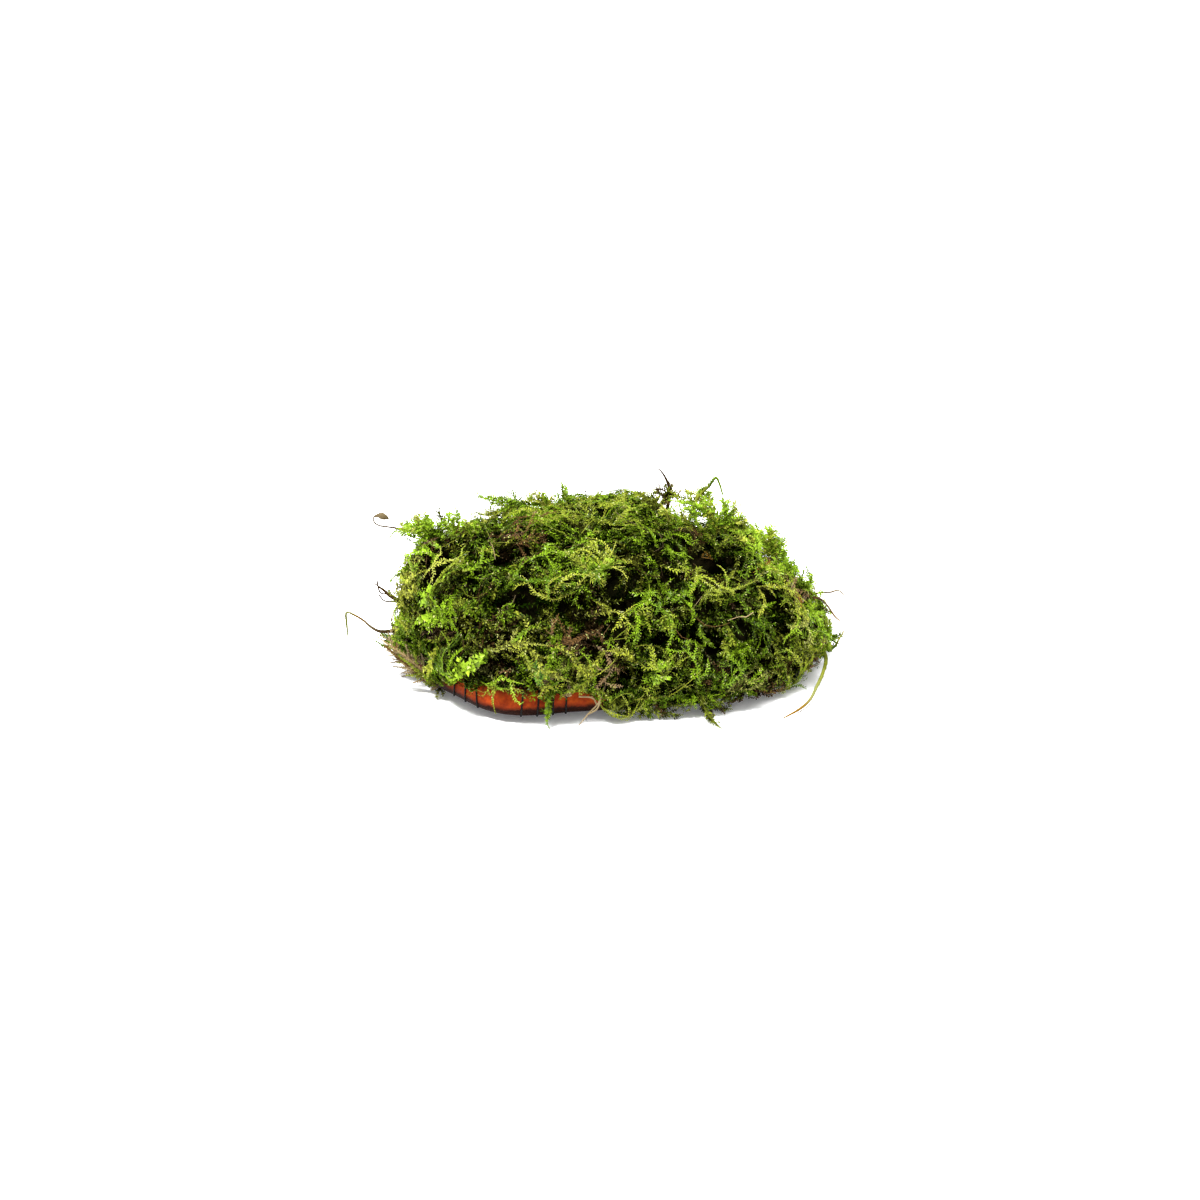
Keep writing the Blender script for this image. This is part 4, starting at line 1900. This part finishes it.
SPRAYS = (
    # the left shoulder
    Spray(((430, 538), (418, 532), (406, 529.5), (397, 528)), OLIVE, 0.8, 1.1),
    Spray(((412, 531), (409, 538), (408, 545)), LEAF, 0.7, 0.9, (1, 2, 2), 1),
    Spray(((441, 551), (431, 544), (421, 540), (414, 545)), LIME, 1.25, 1.2, (1, 2.5, 2), 6),
    Spray(((438, 562), (428, 557), (418, 558), (412, 566)), FRESH, 1.15, 1.1, (1, 2.5, 2), 5),
    Spray(((446, 541), (457, 533), (459, 520)), GOLD, 0.6, 0.3, (1, 2, 2), 0),
    # the upper edge
    Spray(((545, 505), (519, 504), (506, 503), (495, 500), (483, 498)), FRESH, 0.85, 1.2, (1, 2, 2), 5),
    Spray(((520, 512), (505, 512), (490, 515), (478, 512)), STRAW, 0.7),
    Spray(((488, 520), (508, 520), (531, 523), (552, 528)), FRESH, 0.8, 1.2, (0, 2, 2), 5),
    Spray(((500, 527), (524, 524), (545, 521)), LEAF, 0.85, 1.1, (0, 2, 2), 4),
    # the left side
    Spray(((461.8, 587), (465, 596), (478, 598), (487, 594)), OLIVE, 0.75, 0.3, (1, 2, 2), 0),
    Spray(((407, 626), (404, 604), (408, 580)), STRAW, 0.8, 1.1, (0, 1, 1), 6),
    Spray(((413, 630), (411, 606), (414, 584)), OLIVE, 0.75, 1.1, (0, 1, 1), 6),
    # the lime bar, and the fronds by it
    Spray(((449, 677), (462, 669), (475, 662), (483, 657)), LIME, 0.9, 2.0, (1.5, 2.5, 2.5), 6),
    Spray(((478, 663), (485, 656), (488, 646)), FRESH, 0.9, 1.3, (1, 2, 2)),
    Spray(((441, 645), (438, 660), (437, 677)), STRAW, 1.05, 1.35, (1, 2.5, 2.5), 4),
    Spray(((470, 639), (494, 645), (520, 643), (548, 650)), STRAW, 0.7, 1.0, (1, 2.5, 2.5), 6),
    Spray(((408, 640), (420, 652), (434, 664)), LEAF, 0.75, 1.2, (1, 2, 2), 5),
    # the straw arcs over the rim
    Spray(((520, 645), (535, 655), (548, 668), (566, 678)), STRAW, 0.7, 1.0, (1, 3, 2), 6),
    Spray(((545, 646), (562, 655), (577, 664), (590, 668)), STRAW, 0.6, 1.1, (1, 3, 2), 6),
    Spray(((604, 651), (594, 662), (580, 668), (568, 664)), STRAW, 0.8, 1.0, (1, 3, 3), 5),
    Spray(((600, 668), (588, 674), (574, 683), (560, 688)), OLIVE, 0.85, 1.0, (1, 3, 2), 5),
    Spray(((530, 640), (526, 655), (534, 670), (540, 682)), OLIVE, 0.8, 1.0, (1, 2, 2), 4),
    # small fronds between them
    Spray(((538, 655), (541, 667), (546, 680)), SEA, 0.9, 1.3, (1, 2.5, 2.5), 4),
    Spray(((560, 650), (553, 660), (549, 672)), FRESH, 0.7, 1.1, (1, 2.5, 2.5)),
    # fronds that droop over the rim, and the lower middle
    Spray(((545, 688), (547, 700), (549, 718)), LEAF, 0.75, 1.3, (1, 1.5, 1)),
    Spray(((487, 696), (491, 703), (496, 711)), STRAW, 0.6, 0.8, (1, 1, 0.5), 1),
    Spray(((592, 600), (600, 610), (609, 622)), STRAW, 0.75, 0.8, (0, 2, 2), 2),
    Spray(((560, 625), (556, 636), (546, 645)), LEAF, 0.55, 1.0, (0, 2, 2), 4),
    # the low left edge
    Spray(((452, 692), (438, 684), (424, 676), (411, 667)), OLIVE, 0.7, 1.0, (0, 1, 1), 6),
    # the right shoulder and its golden strands
    Spray(((742, 546), (756, 556), (772, 562), (788, 572)), FRESH, 0.8, 1.1, (1, 3, 3), 6),
    Spray(((766, 562), (760, 568), (752, 577)), GOLD, 0.7, 0.6, (1, 2.5, 2), 1),
    Spray(((791, 594), (793, 603), (793, 613)), GOLD, 0.75, 0.5, (1, 2.5, 2.5), 1),
    Spray(((712, 560), (706, 556), (700, 560)), GOLD, 0.55, 0.6, (1, 2, 2), 2),
    # the long fronds at the right
    Spray(((700, 607), (709, 597), (731, 591), (752, 591)), OLIVE, 0.95, 0.8, (1, 3, 3), 4),
    Spray(((755, 590), (768, 588), (782, 592), (790, 600)), STRAW, 0.85, 0.8, (1, 3, 3), 4),
    Spray(((757, 592), (755, 605), (752, 621)), STRAW, 0.95, 0.9, (1, 3, 3)),
    Spray(((752, 606), (762, 608), (773, 612)), LEAF, 0.85, 1.0, (1, 3, 3), 2),
    # the falls below them, and the arcs at their foot
    Spray(((724, 622), (728, 636), (727, 650), (719, 664)), OLIVE, 0.85, 1.0, (0, 3, 3), 5),
    Spray(((718, 665), (728, 656), (738, 650), (754, 647)), LEAF, 0.65, 0.8, (1, 3, 3), 4),
    Spray(((641, 661), (629, 656), (617, 652), (604, 651)), STRAW, 0.85, 1.0, (1, 3, 2.5), 5),
    Spray(((699, 622), (704, 632), (713, 642)), LEAF, 0.85, 1.0, (1, 2.5, 2.5), 4),
    Spray(((602, 698), (631, 699), (654, 694), (666, 691), (684, 677), (699, 671)), STRAW, 0.75, 0.5,
        (0, 1.5, 3)),
    Spray(((735, 655), (742, 664), (752, 668), (760, 664)), LEAF, 0.42, 1.0, (0, 2.5, 2.5), 4),
    # the right edge and the foot
    Spray(((806, 566), (810, 577), (814, 590)), LIME, 0.85, 1.0, (0, 2, 2), 5),
    Spray(((814, 592), (820, 606), (824, 622)), LIME, 0.85, 1.0, (0, 2, 2), 5),
    Spray(((800, 610), (808, 622), (818, 632)), FRESH, 0.9, 1.1, (0, 2, 2), 5),
    Spray(((786, 690), (795, 686), (803, 686), (808, 691)), LEAF, 0.7, 0.6, (1, 1, 0.5), 1),
    Spray(((640, 692), (655, 700), (668, 710)), OLIVE, 0.7, 1.1, (0, 2, 2), 5),
    Spray(((690, 690), (700, 700), (712, 706)), LEAF, 0.7, 1.1, (0, 2, 2), 5),
    # bare rootlets
    Spray(((748, 615), (741, 620), (731, 623), (720, 622.5)), TAN, 1.5, 0.0, (2.5, 3, 3), 0, 0.14),
    Spray(((487, 544), (490, 553), (493, 562)), TAN, 0.8, 0.0, (1, 2, 1), 0, 0.14),
    Spray(((689, 614), (694, 607), (703, 600)), TAN, 0.8, 0.0, (1, 2, 2), 0, 0.1),
    Spray(((480, 640), (487, 625), (498, 620)), BROWN, 0.8, 0.0, (1, 2, 2), 0, 0.1),
)


@dataclass(frozen=True)
class Fan:
    """Fronds that part from one place of the photograph. Each takes the next of the tones."""

    root_px: tuple[float, float]
    tips_px: tuple
    tones: tuple
    light: float = 0.85
    leaf_mm: float = 0.9
    lift_mm: tuple = (0.0, 1.5, 1.5)
    branches: int = 7
    girth_mm: float = 0.20
    bow: float = 0.13
    behind_mm: float = 0.0

    def sprays(self) -> list[Spray]:
        """Its fronds, bowed to one side and the other by turns."""
        made, root = [], np.array(self.root_px, float)
        for number, tip in enumerate(self.tips_px):
            along = np.array(tip, float) - root
            side = np.array([-along[1], along[0]]) * self.bow * (-1) ** number
            made.append(
                Spray((self.root_px, tuple(root + along * 0.5 + side), tip),
                      self.tones[number % len(self.tones)], self.light, self.leaf_mm, self.lift_mm,
                      self.branches, self.girth_mm, self.behind_mm)
            )
        return made


FANS = (
    # the left shoulder and its crest
    Fan((430, 535), ((399, 528), (404, 520), (411, 518), (416, 514), (422, 514), (428, 517)), (STRAW,
        FRESH, LIME), 0.9, 1.22),
    Fan((438, 543), ((403, 525), (411, 519), (420, 517), (428, 520), (436, 521), (443, 519)), (LIME,
        FRESH), 0.85, 1.25),
    Fan((440, 541), ((424, 520), (432, 516), (438, 519), (445, 518)), (FRESH, LIME), 0.9, 1.22),
    Fan((452, 541), ((446, 513), (451, 508), (455, 506), (458, 513), (463, 523)), (LIME, LIME, FRESH),
        0.95, 1.35),
    Fan((447, 529), ((432, 508), (439, 504)), (OLIVE,), 0.56, 0.54),
    Fan((472, 538), ((459, 521), (466, 519), (474, 521), (480, 527)), (FRESH, OLIVE), 0.9, 1.22),
    # the upper edge
    Fan((500, 515), ((470, 519), (486, 512), (490, 514), (455, 521)), (OLIVE, STRAW), 0.85, 0.81),
    Fan((527, 507), ((500, 497), (497, 503), (503, 511), (494, 511), (487, 516), (484, 499), (472, 498)),
        (FRESH, STRAW, LIME), 0.8, 1.05, (0, 1, 1), 3, 0.2, 0.08),
    Fan((546, 506), ((532, 491), (528, 495), (523, 498), (548, 496), (553, 496), (543, 490)), (STRAW,
        FRESH), 0.9, 1.0),
    Fan((566, 506), ((561, 482), (557, 492), (563, 490)), (LEAF, FRESH), 0.85, 1.22),
    Fan((590, 506), ((575, 498), (583, 496), (592, 494), (600, 494), (607, 495)), (OLIVE, LEAF), 0.8,
        1.08),
    Fan((630, 504), ((616, 492), (625, 491), (634, 492), (640, 494)), (LEAF, STRAW), 0.8, 1.08),
    # the left side
    Fan((412, 569), ((389, 583), (394, 576), (400, 570), (408, 558)), (FRESH, STRAW), 0.64, 0.81),
    Fan((426, 557), ((412, 549), (408, 558), (413, 542), (420, 541)), (FRESH, OLIVE), 0.64, 1.22),
    Fan((410, 603), ((389, 592), (386, 587), (393, 583), (391, 600)), (STRAW, OLIVE), 0.64, 0.81),
    Fan((440, 612), ((430, 585), (424, 591), (419, 603), (416, 622), (436, 632), (452, 619), (451, 600)),
        (FRESH, LIME, FRESH), 0.85, 1.5, (0.5, 2.0, 2.0), 4),
    # the low left wedge
    Fan((432, 678), ((380, 641), (384, 646), (391, 653), (399, 660), (409, 666), (417, 672)), (TAN, BROWN,
        STRAW), 0.85, 0.7, (0, 0.6, 0.6), 5, 0.26, 0.05),
    Fan((424, 656), ((373, 634), (380, 631), (388, 636), (396, 632), (398, 641)), (FRESH, LEAF), 0.64,
        1.22, (0, 1.0, 1.0), 5, 0.16, 0.06),
    # the knot at the top right
    Fan((668, 493), ((665, 483), (656, 486), (654, 494), (660, 502), (669, 505), (677, 500), (681, 491),
        (674, 485)), (BROWN, OLIVE), 0.7, 0.85, (0, 0, 0), 6, 0.26, 0.4, 17.5),
    Fan((663, 498), ((671, 486), (676, 496), (660, 489), (670, 500)), (BROWN, OLIVE), 0.6, 0.5, (0, 0, 0),
        3, 0.28, 0.5, 17.5),
    Fan((655, 510), ((664, 499), (669, 503), (660, 503)), (OLIVE, BROWN), 0.6, 0.8, (0, 0, 0), 4),
    # the lace between the knot and the loop, where light shows between the fronds
    Fan((655, 506), ((632, 492), (641, 490), (650, 490), (659, 496), (645, 497)), (OLIVE, STRAW), 0.8,
        1.0),
    Fan((716, 537), ((669, 500), (678, 499), (687, 503), (694, 504), (702, 506), (671, 505)), (LIME,
        STRAW, FRESH), 0.95, 1.3, (0, 0, 0), 6, 0.26, 0.22),
    Fan((708, 512), ((678, 490), (687, 492), (694, 497)), (STRAW, LIME), 0.8, 1.0, (0, 0, 0), 5, 0.22,
        0.2, 16.5),
    Fan((709, 516), ((669, 496), (680, 500), (690, 504)), (OLIVE, LIME), 0.8, 1.0, (0, 0, 0), 5, 0.26,
        0.16),
    Fan((668, 530), ((660, 503), (664, 507), (669, 510), (672, 506)), (STRAW, LIME), 0.9, 1.2, (0, 0, 0),
        6, 0.24),
    Fan((722, 535), ((700, 494), (710, 497), (722, 494), (730, 498), (736, 497), (738, 507), (744, 510)),
        (LIME, STRAW, LIME), 0.95, 1.35, (0, 0.5, 0.5), 8, 0.24, 0.1),
    Fan((705, 498), ((698, 492), (703, 487), (710, 491), (713, 500), (704, 506)), (LIME,), 1.05, 1.3,
        (0, 0, 0), 5, 0.2, 0.13, 16.0),
    Fan((725, 539), ((708, 520), (714, 514), (728, 515), (740, 519)), (FRESH, LIME, STRAW), 0.9, 1.3),
    # the right shoulder and the right edge
    Fan((757, 547), ((742, 524), (751, 527), (754, 521), (763, 530), (770, 524)), (LIME, FRESH), 0.92,
        1.3),
    Fan((748, 552), ((727, 535), (735, 530), (744, 530), (752, 537), (760, 546), (741, 542)), (LIME,
        STRAW), 1.0, 1.3, (0, 2, 2), 5),
    Fan((776, 579), ((758, 563), (765, 557), (774, 557), (783, 563), (790, 572), (767, 570)), (LIME,
        STRAW, FRESH), 1.0, 1.3, (0, 2, 2), 5),
    Fan((768, 556), ((768, 525), (761, 528), (757, 532), (773, 529), (778, 538)), (LIME, STRAW), 0.95,
        1.3),
    Fan((773, 560), ((771, 530), (776, 538), (783, 536), (779, 546), (762, 541)), (LIME, STRAW), 0.92,
        1.3),
    Fan((786, 575), ((780, 552), (785, 549), (793, 560), (799, 568), (772, 562)), (FRESH, LIME), 0.92,
        1.3),
    Fan((790, 580), ((795, 566), (800, 571), (805, 577), (789, 556)), (LIME, FRESH), 0.95, 1.3),
    Fan((802, 592), ((799, 574), (806, 567), (812, 573), (815, 581)), (LIME, FRESH), 0.76, 1.22),
    Fan((812, 606), ((822, 590), (826, 602), (830, 612), (827, 624)), (LIME, FRESH), 0.92, 1.3),
    # the left rim
    Fan((430, 672), ((411, 667), (417, 673), (424, 680), (432, 685), (440, 690)), (OLIVE, BROWN, STRAW),
        0.6, 0.9, (0.5, 1, 0.6), 4),
    Fan((440, 688), ((437, 699), (443, 697)), (STRAW,), 0.6, 0.8, (0.5, 0.8, 0.5), 3),
    # the lace at the left edge
    Fan((414, 640), ((395, 618), (393, 606), (398, 594), (404, 586), (391, 628)), (STRAW, LIME), 0.95,
        1.1, (0, 0.8, 0.4), 6, 0.14),
    Fan((420, 590), ((398, 580), (402, 568), (408, 560), (395, 590)), (LIME, STRAW), 0.9, 1.0,
        (0, 0.8, 0.4), 6, 0.14),
    # the tan wedge
    Fan((438, 686), ((378, 637), (385, 645), (393, 653), (401, 662), (411, 671), (423, 682), (431, 690)),
        (TAN, BROWN, OLIVE), 0.8, 0.75, (0.5, 0.6, 0.4), 5, 0.34, 0.03, -24.0),
    Fan((425, 664), ((380, 634), (388, 641), (396, 648), (404, 655)), (TAN, LEAF, BROWN), 0.8, 0.85,
        (0.5, 0.8, 0.4), 5, 0.28, 0.03, -22.0),
    # bright lobes and the low star
    Fan((594, 584), ((578, 569), (583, 559), (593, 555), (603, 559), (612, 564), (607, 575)), (LIME,
        FRESH), 0.76, 1.7, (0.5, 2.0, 1.5), 4),
    Fan((654, 670), ((671, 674), (668, 663), (660, 660), (648, 678), (662, 679)), (LIME, FRESH), 0.9, 1.1,
        (0.5, 2, 2), 3),
    # the right edge and its foot
    Fan((792, 652), ((824, 654), (820, 663), (812, 670), (803, 676), (790, 683)), (OLIVE, BROWN), 0.48,
        1.22, (0, 1, 0.6), 5),
    Fan((814, 632), ((832, 618), (834, 628), (829, 640), (831, 650), (826, 657)), (OLIVE, LEAF, BROWN),
        0.8, 1.2),
    Fan((822, 641), ((843, 631), (838, 638), (834, 648), (830, 652)), (LEAF, FRESH), 0.6, 1.08),
    # the tuft over the lower edge, and the foot
    Fan((702, 700), ((720, 728), (712, 719), (732, 709), (725, 714), (706, 712)), (OLIVE, BROWN), 0.6,
        1.0, (0, 0.8, 0.3), 4, 0.26),
    Fan((640, 700), ((607, 712), (616, 716), (628, 718), (640, 719), (654, 718), (668, 716), (683, 715)),
        (OLIVE, LEAF, BROWN), 0.48, 1.22, (0, 0.8, 0.4), 5),
    Fan((745, 688), ((714, 708), (727, 703), (757, 694), (772, 692), (786, 687)), (OLIVE, BROWN, LEAF),
        0.48, 1.22, (0, 0.8, 0.4), 5),
)


# ---- Studio ----


@dataclass
class Studio:
    """A white table under broad soft light."""

    floor_half: float = 30.0
    room_strength: float = 0.80
    sun_strength: float = 5.8
    sun_spread_deg: float = 60.0
    sun_from: tuple = (0.05, 0.06, 1.0)
    key_power: float = 20.0
    key_size: float = 0.16
    key_from: tuple = (-0.24, -0.32, 0.86)

    def build(self) -> None:
        """Adds the table, the lamps and the room."""
        h = self.floor_half
        mesh = bpy.data.meshes.new("table")
        mesh.from_pydata([(-h, -h, 0), (h, -h, 0), (h, h, 0), (-h, h, 0)], [], [(0, 1, 2, 3)])
        mesh.materials.append(TableFinish().build())
        link("table", mesh)
        sun = bpy.data.lights.new("soft_top_light", "SUN")
        sun.energy, sun.angle = self.sun_strength, math.radians(self.sun_spread_deg)
        self.place_lamp(sun, self.sun_from)
        key = bpy.data.lights.new("small_front_light", "AREA")
        key.energy, key.size = self.key_power, self.key_size
        self.place_lamp(key, self.key_from)
        world = bpy.data.worlds.new("white_room")
        world.use_nodes = True
        sky = world.node_tree.nodes["Background"]
        sky.inputs["Color"].default_value = (1, 1, 1, 1)
        sky.inputs["Strength"].default_value = self.room_strength
        bpy.context.scene.world = world
        bpy.context.scene.view_settings.view_transform = "Standard"

    @staticmethod
    def place_lamp(data: bpy.types.Light, place: tuple) -> None:
        """Adds a lamp that looks at the clump from this place."""
        lamp = bpy.data.objects.new(data.name, data)
        lamp.location = place
        lamp.rotation_euler = (-Vector(place)).to_track_quat("-Z", "Y").to_euler()
        bpy.context.scene.collection.objects.link(lamp)


def main() -> None:
    """Builds the sub-assemblies in order."""
    logging.basicConfig(level=logging.INFO, format="%(message)s")
    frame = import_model()
    nodes = frame["nodes"]
    view = Viewpoint()
    view.build()
    Studio().build()
    surface = GuideSurface().build(nodes["moss_clump"], view)
    clay = Tablet().build()
    Binding().build(clay)
    mat = MossMat()
    mat.build(surface, view)
    LooseStrands().build(mat.tree, mat.moss)


if __name__ == "__main__":
    main()
